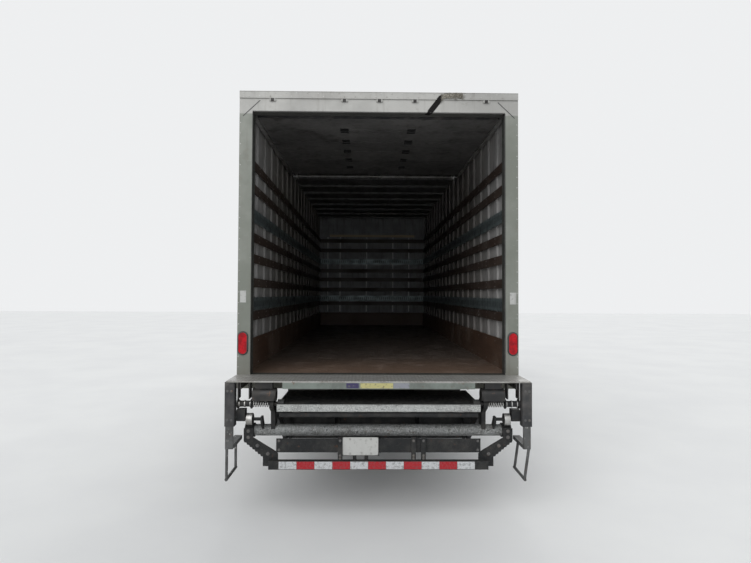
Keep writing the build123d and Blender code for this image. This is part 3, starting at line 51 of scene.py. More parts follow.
def plug(socket, value):
    # a socket takes a field, another socket or a plain value
    value = getattr(value, "socket", value)
    if isinstance(value, bpy.types.NodeSocket):
        socket.node.id_data.links.new(value, socket)
    elif isinstance(value, (tuple, list)) and len(value) == 3 and socket.type == "RGBA":
        socket.default_value = (*value, 1.0)
    else:
        socket.default_value = value


def newNode(tree, kind, settings=(), inputs=()):
    node = tree.nodes.new("ShaderNode" + kind)
    for name, value in dict(settings).items():
        setattr(node, name, value)
    for name, value in dict(inputs).items():
        plug(node.inputs[name], value)
    return node


def reckoned(operation, swapped=False):
    def joined(field, other=0.0):
        pair = (other, field) if swapped else (field, other)
        node = newNode(field.tree, "Math", {"operation": operation}, enumerate(pair))
        return Field(node.outputs[0])
    return joined


class Field:
    # a value that differs over a surface
    def __init__(self, socket):
        self.socket = socket
        self.tree = socket.node.id_data

    __add__ = __radd__ = reckoned("ADD")
    __sub__ = reckoned("SUBTRACT")
    __rsub__ = reckoned("SUBTRACT", True)
    __mul__ = __rmul__ = reckoned("MULTIPLY")
    __truediv__ = reckoned("DIVIDE")
    __mod__ = reckoned("FLOORED_MODULO")
    __gt__ = reckoned("GREATER_THAN")
    __lt__ = reckoned("LESS_THAN")
    __or__ = reckoned("MAXIMUM")
    __abs__ = reckoned("ABSOLUTE")
    floored = reckoned("FLOOR")
    root = reckoned("SQRT")


def remap(value, low, high, start=0.0, end=1.0):
    ends = {"From Min": low, "From Max": high, "To Min": start, "To Max": end}
    node = newNode(value.tree, "MapRange", {"interpolation_type": "SMOOTHSTEP"}, {"Value": value, **ends})
    return Field(node.outputs["Result"])


def mixed(factor, a, b):
    node = newNode(factor.tree, "Mix", {"data_type": "RGBA"}, {"Factor": factor})
    colours = [s for s in node.inputs if s.type == "RGBA"]
    plug(colours[0], a)
    plug(colours[1], b)
    return Field(next(s for s in node.outputs if s.type == "RGBA"))


def layered(colour, *layers):
    # each layer is a mask and the colour that it lays over the ones before
    for mask, over in layers:
        colour = mixed(mask, colour, over)
    return colour


def band(value, centre, half):
    # 1 inside centre +- half, 0 outside
    return abs(value - centre) < half


def stripe(value, pitch, half, offset=0.0):
    # 1 on a thin stripe that repeats every pitch
    return abs((value + offset) % pitch - pitch / 2) < half


class Finish:
    # the graph of one material, called g below; its shader's sockets are set like the entries of a dictionary
    def __init__(self, name):
        self.material = bpy.data.materials.new(name)
        self.material.use_nodes = True
        self.tree = self.material.node_tree
        self.shader = self.tree.nodes["Principled BSDF"]
        self.where = newNode(self.tree, "TexCoord").outputs["Object"]
        parts = newNode(self.tree, "SeparateXYZ", (), {0: self.where}).outputs
        self.x, self.y, self.z = (Field(part) for part in parts)

    def __setitem__(self, name, value):
        plug(self.shader.inputs[name], value)

    def stretched(self, scale):
        return newNode(self.tree, "Mapping", (), {"Vector": self.where, "Scale": scale}).outputs["Vector"]

    def cloud(self, scale, detail=4.0, rough=0.55, twist=0.0, where=None):
        inputs = {"Scale": scale, "Detail": detail, "Roughness": rough, "Distortion": twist}
        return Field(newNode(self.tree, "TexNoise", (), {"Vector": where or self.where, **inputs}).outputs["Fac"])

    def spots(self, low, high, scale, detail, rough=0.55, where=None, span=(0.0, 1.0)):
        # where the cloud rises from low to high
        return remap(self.cloud(scale, detail, rough, where=where), low, high, *span)

    def cells(self, scale, feature="F1", spread=1.0):
        inputs = {"Vector": self.where, "Scale": scale, "Randomness": spread}
        return Field(newNode(self.tree, "TexVoronoi", {"feature": feature}, inputs).outputs["Distance"])

    def relief(self, height, strength, distance=0.002):
        bump = newNode(self.tree, "Bump", (), {"Strength": strength, "Distance": distance, "Height": height})
        self["Normal"] = bump.outputs["Normal"]


# finishes

def wornPaint(name, look):
    # paint with cloudy fading, streaks that run down, chips to steel or rust, and road dirt near the ground
    g = Finish(name)
    streaks = g.spots(0.5, 0.74, 1.0, 6, 0.62, g.stretched((9, 9, 0.7))) * look["streaks"]
    smudge = g.spots(0.55, 0.72, look.get("smudgeScale", 7), 7, 0.65) * look["smudges"]
    chips = g.spots(look["chipEdge"], look["chipEdge"] + 0.05, 60, 9, 0.7)
    colour = layered(
        look["colour"], (g.spots(0.35, 0.68, 1.6, 5), look["faded"]), (streaks, look["dirt"]),
        (smudge, look["dirt"]), (chips, look.get("chip", (0.16, 0.09, 0.05))),
    )
    if "splash" in look:
        # road splash rises to this height
        ragged = g.z + g.cloud(5, 6) * 0.5
        splash = remap(ragged, look["splash"] + 0.35, look["splash"] - 0.35) * look["splashAmount"]
        colour = mixed(splash, colour, (0.2, 0.18, 0.15))
    rough = g.spots(0.3, 0.75, 11, 6, span=look["rough"])
    if "beyond" in look:
        # black moulded plastic further out than this
        out = abs(g.x) > look["beyond"]
        colour = mixed(out, colour, mixed(smudge, (0.024, 0.025, 0.027), (0.060, 0.058, 0.055)))
        rough = rough + out * 0.22
    g["Base Color"] = colour
    g["Roughness"] = rough
    g["Metallic"] = 0.0
    g.relief(g.cloud(240, 3) + chips * -1.5, look["bump"], 0.0015)
    return g.material


def bareMetal(name, look):
    # rolled or cast metal with fine scratches, stains and rust blooms
    g = Finish(name)
    rust = g.spots(look["rustEdge"], look["rustEdge"] + 0.09, 26, 9, 0.72)
    speck = g.spots(0.6, 0.68, look.get("speckScale", 190), 4, 0.7) * look.get("specks", 0.4)
    g["Base Color"] = layered(
        look["colour"], (g.spots(0.38, 0.7, 9, 7, 0.62), look["stain"]),
        (rust, look.get("rust", (0.17, 0.075, 0.035))), (speck, look.get("speck", (0.55, 0.55, 0.52))),
    )
    rough = g.spots(0.3, 0.75, 30, 6, span=look["rough"]) + rust * 0.25
    rough.socket.node.use_clamp = True
    g["Roughness"] = rough
    g["Metallic"] = look["metallic"]
    g["Specular IOR Level"] = look.get("shine", 0.5)
    scratches = g.cloud(8, 3, where=g.stretched((60, 4, 60)))
    g.relief(scratches + rust * 0.8, look["bump"], 0.001)
    return g.material


def boards(name, look):
    # hardwood: strips along one axis, each its own tone, with grain, dents and dark joints
    g = Finish(name)
    place = {"X": g.x, "Z": g.z}[look["across"]]
    number = (place / look["width"]).floored()
    tone = Field(newNode(g.tree, "TexWhiteNoise", {"noise_dimensions": "1D"}, {"W": number}).outputs["Value"])
    scale = {"X": (2.2, 60, 60), "Y": (60, 2.2, 60)}[look["along"]]
    fibres = g.cloud(1.0, 8, 0.66, 0.6, where=g.stretched(scale))
    worn = g.spots(0.42, 0.68, look.get("wornScale", 2.2), 7, 0.62)
    gap = stripe(place, look["width"], look["gap"], look["width"] / 2)
    nicks = g.spots(0.62, 0.68, 34, 8, 0.7) * 0.5
    colour = layered(
        look["light"], (remap(fibres, 0.3, 0.72), look["dark"]), (tone * 0.5, look["other"]),
        (worn * look["worn"], look["dust"]), (gap, (0.02, 0.014, 0.01)), (nicks, (0.05, 0.03, 0.02)),
    )
    if "near" in look:
        # lighter close to the rear opening: a rust stain, and painted daylight falling in through the opening
        ragged = g.y + g.cloud(3.5, 7) * 0.5
        colour = mixed(remap(ragged, *look["nearFade"]) * 0.7, colour, look["near"])
    if "upper" in look:
        # boards above the kick board are darker and greyer
        colour = mixed(remap(g.z, *look["upperFrom"]) * 0.62, colour, look["upper"])
    g["Base Color"] = colour
    g["Roughness"] = remap(worn, 0, 1, *look["rough"])
    g.relief(fibres * 0.5 - (gap + nicks), 0.35, 0.002)
    return g.material


def rubber(name, look):
    g = Finish(name)
    dust = g.spots(0.4, 0.72, 6, 6, 0.65)
    g["Base Color"] = mixed(dust * look.get("dustAmount", 0.6), look["colour"], look["dust"])
    g["Roughness"] = g.spots(0.3, 0.7, 14, 5, span=(0.62, 0.88))
    g.relief(g.cloud(260, 4) + g.cells(90) * 0.6, look.get("bump", 0.2), 0.001)
    return g.material


def plastic(name, look):
    g = Finish(name)
    g["Base Color"] = mixed(g.spots(0.45, 0.75, 5, 6, 0.62) * 0.35, look["colour"], look["dust"])
    g["Roughness"] = g.spots(0.3, 0.7, 18, 5, span=look["rough"])
    g.relief(g.cells(420), 0.18, 0.0006)
    return g.material


def clearGlass(name, look):
    g = Finish(name)
    film = g.spots(0.4, 0.75, 4, 6, 0.6)
    g["Base Color"] = mixed(film, look["colour"], look["film"])
    g["Roughness"] = remap(film, 0, 1, 0.03, 0.16)
    g["Transmission Weight"] = 0.85
    g["IOR"] = 1.45
    g.relief(g.cloud(2.5, 2), 0.02, 0.001)
    return g.material


def lens(name, look):
    # moulded lens with fine prisms
    g = Finish(name)
    g["Base Color"] = mixed(g.spots(0.35, 0.7, 22, 5), look["colour"], look["deep"])
    g["Roughness"] = g.spots(0.3, 0.7, 30, 5, span=(0.12, 0.34))
    g["Coat Weight"] = look.get("coat", 0.5)
    g["Specular IOR Level"] = look.get("shine", 0.5)
    g["Transmission Weight"] = look.get("through", 0.0)
    g.relief(g.cells(look.get("prismScale", 160), spread=0.0), 0.5, 0.0015)
    return g.material


# studio, light and camera
studio = {
    "floorColour": (0.80, 0.80, 0.79), "floorSize": 90, "skyLight": 0.62, "sky": (0.90, 0.93, 0.96),
    "suns": [("keyLight", 1.25, (52, 0, -28)), ("fillLight", 0.75, (-48, 0, -20))], "softness": 55,
}


def buildStudio():
    bpy.ops.mesh.primitive_plane_add(size=studio["floorSize"], location=(0, 0, -0.004))
    floor = bpy.context.object
    floor.name = "studioFloor"
    g = Finish("paleFloor")
    g["Base Color"] = mixed(g.spots(0.3, 0.7, 0.6, 5), studio["floorColour"], (0.76, 0.76, 0.755))
    g["Roughness"] = 0.85
    floor.data.materials.append(g.material)

    world = bpy.data.worlds.new("studioSky")
    bpy.context.scene.world = world
    world.use_nodes = True
    background = world.node_tree.nodes["Background"]
    path = newNode(world.node_tree, "LightPath").outputs
    seen = Field(path["Is Camera Ray"]) | path["Is Glossy Ray"] | path["Is Transmission Ray"]
    plug(background.inputs["Color"], mixed(seen, studio["sky"], (0.90, 0.91, 0.92)))
    plug(background.inputs["Strength"], remap(seen, 0, 1, studio["skyLight"], 0.95))
    for name, power, turn in studio["suns"]:
        light = bpy.data.lights.new(name, "SUN")
        light.energy = power
        light.angle = math.radians(studio["softness"])
        lamp = bpy.data.objects.new(name, light)
        lamp.rotation_euler = [math.radians(a) for a in turn]
        bpy.context.scene.collection.objects.link(lamp)


# the photograph's viewpoint
viewpoint = {"place": (-0.100, -10.053, 1.911), "turn": 0.0146, "rise": 0.024, "roll": 0.0045, "lens": 25.32}


def placeCamera():
    turn, rise, roll = viewpoint["turn"], viewpoint["rise"], viewpoint["roll"]
    right = Vector((math.cos(turn), -math.sin(turn), 0))
    level = Vector((math.sin(turn), math.cos(turn), 0))
    ahead = level * math.cos(rise) + Vector((0, 0, 1)) * math.sin(rise)
    above = Vector((0, 0, 1)) * math.cos(rise) - level * math.sin(rise)
    side = right * math.cos(roll) + above * math.sin(roll)
    top = above * math.cos(roll) - right * math.sin(roll)
    lensData = bpy.data.cameras.new("photoCamera")
    lensData.lens = viewpoint["lens"]
    lensData.sensor_width = 36
    lensData.clip_end = 300
    camera = bpy.data.objects.new("photoCamera", lensData)
    camera.matrix_world = Matrix((*zip(side, top, -ahead, viewpoint["place"]), (0, 0, 0, 1)))
    bpy.context.scene.collection.objects.link(camera)
    bpy.context.scene.camera = camera


bpy.context.scene.view_settings.view_transform = "Standard"
buildStudio()
placeCamera()
print("studio and camera ready")


# shapes; both() makes one on each side of the middle plane

def addPiece(name, data, body, material):
    piece = bpy.data.objects.new(name, data)
    bpy.context.scene.collection.objects.link(piece)
    data.materials.append(material)
    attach(piece, body)
    return piece


def newPiece(name, bm, body, material, smooth=False):
    bmesh.ops.recalc_face_normals(bm, faces=bm.faces)
    mesh = bpy.data.meshes.new(name)
    bm.to_mesh(mesh)
    bm.free()
    if smooth:
        for face in mesh.polygons:
            face.use_smooth = True
    return addPiece(name, mesh, body, material)


def newCurve(name, runs, radius, body, material, rounded=False, capped=True, sides=4):
    # bars, hoses or wires, each through its run of points
    line = bpy.data.curves.new(name, "CURVE")
    line.dimensions = "3D"
    line.bevel_depth = radius
    line.bevel_resolution = sides
    line.use_fill_caps = capped
    for run in runs:
        spline = line.splines.new("NURBS" if rounded else "POLY")
        spline.points.add(len(run) - 1)
        for point, co in zip(spline.points, run):
            point.co = (*co, 1)
        if rounded:
            spline.order_u = 3
            spline.use_endpoint_u = True
    return addPiece(name, line, body, material)


def coil(start, end, y, z, radius, turns, steps):
    # points of a helix along x
    count = turns * steps
    turned = [2 * math.pi * i / steps for i in range(count + 1)]
    return [
        (start + (end - start) * i / count, y + radius * math.cos(a), z + radius * math.sin(a))
        for i, a in enumerate(turned)
    ]


def bridge(bm, rows, closed=True):
    # faces between rows of points
    for a, b in zip(rows, rows[1:]):
        for i in range(len(a) if closed else len(a) - 1):
            j = (i + 1) % len(a)
            bm.faces.new((a[i], a[j], b[j], b[i]))


def addSlab(bm, corner, other, ease=0.0):
    # a box between two corners, its edges eased if asked
    made = bmesh.ops.create_cube(bm, size=1.0)["verts"]
    low, high = [Vector(pick(pair) for pair in zip(corner, other)) for pick in (min, max)]
    for v in made:
        v.co = v.co * (high - low) + (high + low) / 2
    if ease:
        edges = {e for v in made for e in v.link_edges}
        bmesh.ops.bevel(bm, geom=list(edges), offset=ease, segments=2, profile=0.6, affect="EDGES")


def lathe(bm, centre, direction, profile, steps=24):
    # profile holds (radius, height along direction)
    along = Vector(direction).normalized()
    sideways = along.orthogonal().normalized()
    other = along.cross(sideways)
    angles = [2 * math.pi * i / steps for i in range(steps)]
    rings = [[
        bm.verts.new(Vector(centre) + along * height + (sideways * math.cos(a) + other * math.sin(a)) * radius)
        for a in angles
    ] for radius, height in profile]
    bridge(bm, rings)
    bm.faces.new(list(reversed(rings[0])))
    bm.faces.new(rings[-1])


def boltHead(bm, place, direction, across=0.019, tall=0.008, washer=True):
    # hexagon head on a round washer, its foot at place
    radius = across / 2
    if washer:
        lathe(bm, place, direction, [(radius * 1.35, 0), (radius * 1.35, tall * 0.22)], 14)
    head = [(radius * 1.12, tall * 0.2), (radius * 1.12, tall * 0.85), (radius * 0.85, tall)]
    lathe(bm, place, direction, head, 6)


def rivet(bm, place, direction, radius=0.007, tall=0.003):
    lathe(bm, place, direction, [(radius, 0), (radius * 0.86, tall * 0.6), (radius * 0.45, tall)], 8)


words = {-1: "left", 1: "right"}
backwards = (0, -1, 0)
outwards = (1, 0, 0)


def both(shape, bm, first, second, *rest):
    for side in words:
        shape(bm, (side * first[0], *first[1:]), (side * second[0], *second[1:]), *rest)


def addSlabs(bm, rows, anchor=(0, 0, 0), mirrored=False):
    # each row holds a corner, the opposite corner and the eased edge, measured from the anchor
    for *corners, ease in rows:
        near, far = Vector(corners[:3]) + Vector(anchor), Vector(corners[3:]) + Vector(anchor)
        if mirrored:
            both(addSlab, bm, near, far, ease)
        else:
            addSlab(bm, near, far, ease)


def middleOf(node):
    low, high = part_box(node)
    return (Vector(low) + Vector(high)) / 2


# finishes of the truck

white = {"colour": (0.80, 0.80, 0.79), "faded": (0.76, 0.765, 0.76), "dirt": (0.42, 0.39, 0.34)}
cabLayer = {**white, "streaks": 0.05, "smudges": 0.015, "chipEdge": 0.80, "rough": (0.22, 0.25), "bump": 0.02}
cabPaint = wornPaint("cabPaint", {**cabLayer, "splash": 0.55, "splashAmount": 0.35})
doorPaint = wornPaint("doorPaint", {**cabLayer, "beyond": 1.036})
chassisPaint = wornPaint("chassisPaint", {
    "colour": (0.030, 0.031, 0.034), "faded": (0.060, 0.058, 0.056), "dirt": (0.15, 0.125, 0.10),
    "streaks": 0.35, "smudges": 0.55, "chipEdge": 0.63, "chip": (0.16, 0.07, 0.035), "rough": (0.45, 0.8),
    "bump": 0.25, "splash": 0.75, "splashAmount": 0.55,
})
bumperPaint = wornPaint("bumperPaint", {
    "colour": (0.030, 0.031, 0.033), "faded": (0.046, 0.046, 0.046), "dirt": (0.13, 0.12, 0.105),
    "streaks": 0.20, "smudges": 0.25, "chipEdge": 0.68, "chip": (0.12, 0.07, 0.045), "rough": (0.35, 0.6),
    "bump": 0.10, "splash": 0.55, "splashAmount": 0.30,
})
bodySkin = wornPaint("bodySkin", {
    "colour": (0.76, 0.77, 0.76), "faded": (0.70, 0.71, 0.70), "dirt": (0.38, 0.36, 0.32), "streaks": 0.22,
    "smudges": 0.10, "chipEdge": 0.72, "rough": (0.28, 0.5), "bump": 0.05, "splash": 0.9, "splashAmount": 0.4,
})
doorBoard = wornPaint("doorBoard", {
    "colour": (0.150, 0.146, 0.142), "faded": (0.100, 0.098, 0.096), "dirt": (0.030, 0.026, 0.024),
    "streaks": 0.5, "smudges": 0.7, "smudgeScale": 4, "chipEdge": 0.66, "rough": (0.45, 0.75), "bump": 0.12,
})
wheelPaint = wornPaint("wheelPaint", {
    "colour": (0.70, 0.70, 0.68), "faded": (0.60, 0.59, 0.56), "dirt": (0.22, 0.18, 0.14),
    "streaks": 0.3, "smudges": 0.65, "chipEdge": 0.66, "rough": (0.4, 0.65), "bump": 0.12,
})
gatePaint = bareMetal("gatePaint", {
    "colour": (0.019, 0.020, 0.021), "stain": (0.042, 0.041, 0.039), "rust": (0.10, 0.05, 0.030), "rustEdge": 0.60,
    "specks": 0.26, "speck": (0.36, 0.36, 0.34), "rough": (0.50, 0.78), "metallic": 0.05, "bump": 0.3, "shine": 0.22,
})
stepSteel = bareMetal("stepSteel", {
    "colour": (0.105, 0.107, 0.106), "stain": (0.050, 0.049, 0.047), "rust": (0.11, 0.06, 0.04), "rustEdge": 0.59,
    "specks": 0.85, "speck": (0.42, 0.42, 0.40), "speckScale": 34, "rough": (0.48, 0.75), "metallic": 0.1,
    "bump": 0.4, "shine": 0.3,
})
bareSteel = bareMetal("bareSteel", {
    "colour": (0.50, 0.50, 0.49), "stain": (0.30, 0.29, 0.27), "rough": (0.28, 0.55), "metallic": 0.85,
    "rustEdge": 0.64, "bump": 0.2,
})
castIron = bareMetal("castIron", {
    "colour": (0.11, 0.11, 0.11), "stain": (0.17, 0.155, 0.14), "rough": (0.5, 0.8), "metallic": 0.5,
    "rustEdge": 0.58, "bump": 0.5,
})
tankMetal = bareMetal("tankMetal", {
    "colour": (0.62, 0.63, 0.64), "stain": (0.42, 0.41, 0.39), "rough": (0.22, 0.45), "metallic": 0.9,
    "rustEdge": 0.9, "bump": 0.12, "specks": 0.1,
})
chromeRod = bareMetal("chromeRod", {
    "colour": (0.70, 0.70, 0.70), "stain": (0.52, 0.50, 0.47), "rough": (0.08, 0.22), "metallic": 1.0,
    "rustEdge": 0.9, "bump": 0.03, "specks": 0.0,
})
tyreRubber = rubber("tyreRubber", {
    "colour": (0.022, 0.022, 0.023), "dust": (0.115, 0.105, 0.092), "dustAmount": 0.55,
})
bumperRubber = rubber("bumperRubber", {"colour": (0.030, 0.031, 0.033), "dust": (0.13, 0.12, 0.11), "bump": 0.5})
blackPlastic = plastic("blackPlastic", {
    "colour": (0.030, 0.031, 0.033), "dust": (0.12, 0.11, 0.10), "rough": (0.42, 0.62),
})
greyPlastic = plastic("greyPlastic", {
    "colour": (0.115, 0.118, 0.122), "dust": (0.20, 0.19, 0.17), "rough": (0.5, 0.7),
})
hingeBlack = plastic("hingeBlack", {
    "colour": (0.008, 0.008, 0.008), "dust": (0.03, 0.028, 0.026), "rough": (0.6, 0.8),
})
windowGlass = clearGlass("windowGlass", {"colour": (0.62, 0.70, 0.69), "film": (0.55, 0.58, 0.56)})
headlampLens = lens("headlampLens", {
    "colour": (0.82, 0.84, 0.86), "deep": (0.62, 0.65, 0.68), "through": 0.55, "prismScale": 70,
})
redLens = lens("redLens", {"colour": (0.50, 0.004, 0.012), "deep": (0.26, 0.003, 0.009), "coat": 0.0, "shine": 0.25})
amberLens = lens("amberLens", {"colour": (0.75, 0.24, 0.02), "deep": (0.45, 0.12, 0.01)})
floorBoards = boards("floorBoards", {
    "along": "Y", "across": "X", "width": 0.034, "light": (0.104, 0.078, 0.062), "dark": (0.048, 0.036, 0.029),
    "other": (0.082, 0.063, 0.052), "dust": (0.120, 0.100, 0.086), "worn": 0.35, "wornScale": 5.5,
    # near: rust stain and painted daylight close to the rear opening
    "rough": (0.42, 0.75), "gap": 0.0012, "near": (0.185, 0.118, 0.082), "nearFade": (-3.3, -4.9),
})
liningBoards = boards("liningBoards", {
    "along": "Y", "across": "Z", "width": 0.19, "light": (0.110, 0.060, 0.038), "dark": (0.045, 0.024, 0.016),
    "other": (0.075, 0.043, 0.028), "dust": (0.17, 0.13, 0.10), "worn": 0.4, "rough": (0.5, 0.8), "gap": 0.0,
    "upper": (0.026, 0.022, 0.020), "upperFrom": (1.55, 1.60),
})


def slottedRail(look):
    # teal-grey logistics rail with upright slots along its face
    g = Finish("slottedRail")
    stain = g.spots(0.38, 0.7, 9, 7, 0.62)
    colour = mixed(stain, look["colour"], look["stain"])
    colour = mixed(g.spots(0.58, 0.67, 26, 9, 0.72), colour, (0.13, 0.065, 0.04))
    rows = band(g.z, look["heights"][0], look["tall"]) | band(g.z, look["heights"][1], look["tall"])
    atFront = g.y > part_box("wall_front")[0].y - look["frontDeep"]
    sideSlots = stripe(g.y, look["pitch"], look["slot"])
    frontSlots = stripe(g.x, look["pitch"], look["slot"])
    slots = (frontSlots * atFront + sideSlots * (1.0 - atFront)) * rows
    g["Base Color"] = mixed(slots, colour, (0.012, 0.012, 0.012))
    g["Roughness"] = remap(stain, 0, 1, 0.35, 0.6)
    g["Metallic"] = 0.5
    g.relief(g.cloud(90, 4) - slots * 3.0, 0.4, 0.002)
    return g.material


railSteel = slottedRail({
    "colour": (0.20, 0.245, 0.25), "stain": (0.12, 0.14, 0.145), "heights": (1.810, 2.690), "pitch": 0.0508,
    "slot": 0.007, "tall": 0.030, "frontDeep": 0.05,
})


def rearFramePaint(look):
    # grey-green posts, a paler header above the opening and a dusty cap
    g = Finish("rearFramePaint")
    fading = g.spots(0.36, 0.66, 2.2, 6)
    post = mixed(fading, look["post"], look["postFaded"])
    header = mixed(fading, look["header"], look["headerFaded"])
    streaks = g.spots(0.52, 0.76, 1.0, 7, 0.66, g.stretched((26, 26, 1.2)))
    smudges = g.spots(0.56, 0.7, 9, 8, 0.68)
    scrapes = g.spots(0.63, 0.68, 1.0, 8, 0.7, g.stretched((5, 5, 55)))
    # the faces that look into the opening are in its shade
    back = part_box("rear_frame")[0].y
    halfWide, top = look["opening"]
    inward = remap(g.y, back + 0.014, back + 0.03) * (abs(g.x) < halfWide) * (g.z < top)
    g["Base Color"] = layered(
        post, (remap(g.z, look["change"], look["change"] + 0.01), header), (streaks * 0.42, look["dirt"]),
        (smudges * 0.32, look["dirt"]), (scrapes * 0.4, (0.62, 0.63, 0.62)),
        (remap(g.z, *look["grime"]) * 0.45, look["dirt"]), (inward * 0.86, (0.03, 0.031, 0.029)),
    )
    g["Roughness"] = g.spots(0.3, 0.75, 15, 6, span=(0.34, 0.62))
    g["Metallic"] = 0.15
    g.relief(g.cloud(160, 4) + scrapes, 0.18, 0.001)
    return g.material


rearFrameCoat = rearFramePaint({
    "post": (0.186, 0.198, 0.170), "postFaded": (0.246, 0.256, 0.228), "header": (0.455, 0.450, 0.428),
    "headerFaded": (0.365, 0.360, 0.342), "dirt": (0.16, 0.145, 0.12), "change": 3.575, "grime": (1.55, 1.10),
    "opening": (1.2, 3.64),
})


def treadPlate(look):
    # worn tread plate: raised lozenges in two directions, bright where boots have polished them
    g = Finish("treadPlate")
    pitch, half = look["pitch"], look["pitch"] / 2
    def lozenges(a, b, shift):
        along = ((a + shift) % pitch - half) / look["long"]
        over = ((b + shift) % pitch - half) / look["wide"]
        return remap(along * along + over * over, 1.0, 0.55)
    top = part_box("sill_extension")[1].z
    plus, minus = (g.x + g.y) * look["slant"], (g.x - g.y) * look["slant"]
    raised = (lozenges(plus, minus, 0.0) | lozenges(minus, plus, half)) * (g.z > top - look["flat"])
    stain = g.spots(0.38, 0.68, 6, 8, 0.66)
    plate = mixed(stain, (0.400, 0.395, 0.375), (0.235, 0.225, 0.205))
    plate = mixed(raised * 0.75, plate, (0.58, 0.58, 0.56))
    channel = mixed(stain, (0.215, 0.245, 0.220), (0.150, 0.165, 0.150))
    # painted shade: every face but the tread and the front channel is near-black, with stains
    under = mixed(stain, (0.024, 0.024, 0.025), (0.050, 0.046, 0.042))
    torn = g.spots(0.56, 0.62, 42, 8, 0.7)
    for x0, x1, film in look["labels"]:
        inside = band(g.x, (x0 + x1) / 2, (x1 - x0) / 2) * band(g.z, *look["labelRow"])
        channel = mixed(inside, channel, mixed(torn, film, (0.13, 0.13, 0.12)))
    front = (g.y < look["front"]) * (g.z > look["low"]) * (abs(g.x) < look["half"])
    colour = mixed(front, under, channel)
    colour = mixed(g.z > top - look["lip"], colour, plate)
    g["Base Color"] = mixed(g.spots(0.6, 0.68, 21, 9, 0.72), colour, (0.15, 0.08, 0.05))
    g["Roughness"] = remap(stain, 0, 1, 0.34, 0.62)
    g["Metallic"] = 0.4
    g.relief(raised * 2.0 + g.cloud(130, 4), 0.5, 0.0025)
    return g.material


treadSteel = treadPlate({
    "pitch": 0.044, "long": 0.016, "wide": 0.0042, "slant": 0.7071, "flat": 0.003, "lip": 0.014,
    "front": -5.45, "low": 1.10, "half": 0.822, "labelRow": (1.132, 0.022),
    # bare labels along the channel: x from, x to, colour
    "labels": [
        (-0.278, -0.172, (0.050, 0.042, 0.110)), (-0.158, 0.120, (0.50, 0.46, 0.21)),
        (0.124, 0.258, (0.27, 0.28, 0.31)),
    ],
})


def tapeFilm(name, colour, worn):
    # retroreflective film: a fine honeycomb under a scratched face
    g = Finish(name)
    comb = g.cells(330, "DISTANCE_TO_EDGE", 0.15)
    scratch = g.spots(0.5, 0.57, 42, 10, 0.78)
    g["Base Color"] = mixed(scratch * 0.7, mixed(remap(comb, 0.0, 0.05), worn, colour), worn)
    g["Roughness"] = remap(scratch, 0, 1, 0.25, 0.6)
    g.relief(comb, 0.15, 0.0004)
    return g.material


redTape = tapeFilm("redTape", (0.40, 0.008, 0.016), (0.22, 0.03, 0.035))
whiteTape = tapeFilm("whiteTape", (0.58, 0.59, 0.60), (0.16, 0.16, 0.155))


def liftArmSteel(tube):
    # near-black arms around a tube whose paint has worn to speckled grey
    g = Finish("liftArmSteel")
    away, above = g.y - tube["y"], g.z - tube["z"]
    onTube = (away * away + above * above).root() < tube["reach"]
    stain = g.spots(0.38, 0.7, 9, 7, 0.62)
    dark = mixed(stain, (0.019, 0.020, 0.021), (0.044, 0.042, 0.039))
    worn = mixed(stain, (0.215, 0.222, 0.220), (0.120, 0.120, 0.116))
    worn = mixed(g.spots(0.5, 0.6, 95, 6, 0.75) * 0.75, worn, (0.46, 0.47, 0.45))
    pits = g.spots(0.57, 0.62, 60, 7, 0.72)
    worn = mixed(pits, worn, (0.03, 0.03, 0.03))
    g["Base Color"] = mixed(g.spots(0.6, 0.68, 24, 9, 0.72), mixed(onTube, dark, worn), (0.100, 0.055, 0.035))
    g["Roughness"] = g.spots(0.3, 0.75, 30, 6, span=(0.42, 0.72))
    g["Metallic"] = 0.05
    g["Specular IOR Level"] = remap(onTube, 0, 1, 0.22, 0.5)
    g.relief(g.cloud(130, 5) - pits, 0.35, 0.001)
    return g.material


armSteel = liftArmSteel({"y": -5.3575, "z": 0.714, "reach": 0.0535})


def platformPaint():
    # the deck is near-black as painted shade, and dusty; its rear edge worn to bare speckled metal
    g = Finish("platformPaint")
    edge = g.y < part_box("gate_platform")[0].y + 0.008
    stain = g.spots(0.38, 0.68, 7, 8, 0.64)
    # painted shade: the deck's near-black
    deck = mixed(stain, (0.026, 0.027, 0.028), (0.060, 0.057, 0.053))
    grit = g.spots(0.55, 0.62, 260, 3, 0.7)
    deck = mixed(grit * 0.4, deck, (0.160, 0.160, 0.155))
    bright = mixed(stain, (0.38, 0.39, 0.38), (0.240, 0.240, 0.235))
    bright = mixed(g.spots(0.5, 0.58, 110, 6, 0.75) * 0.8, bright, (0.62, 0.63, 0.60))
    bright = mixed(g.spots(0.58, 0.62, 70, 8, 0.75), bright, (0.035, 0.035, 0.034))
    g["Base Color"] = mixed(edge, deck, bright)
    g["Roughness"] = g.spots(0.3, 0.75, 30, 6, span=(0.42, 0.74))
    g["Metallic"] = 0.1
    g["Specular IOR Level"] = remap(edge, 0, 1, 0.25, 0.5)
    g.relief(grit * 0.7 + g.cloud(120, 5), 0.35, 0.001)
    return g.material


platformCoat = platformPaint()


skinDeep = 0.003


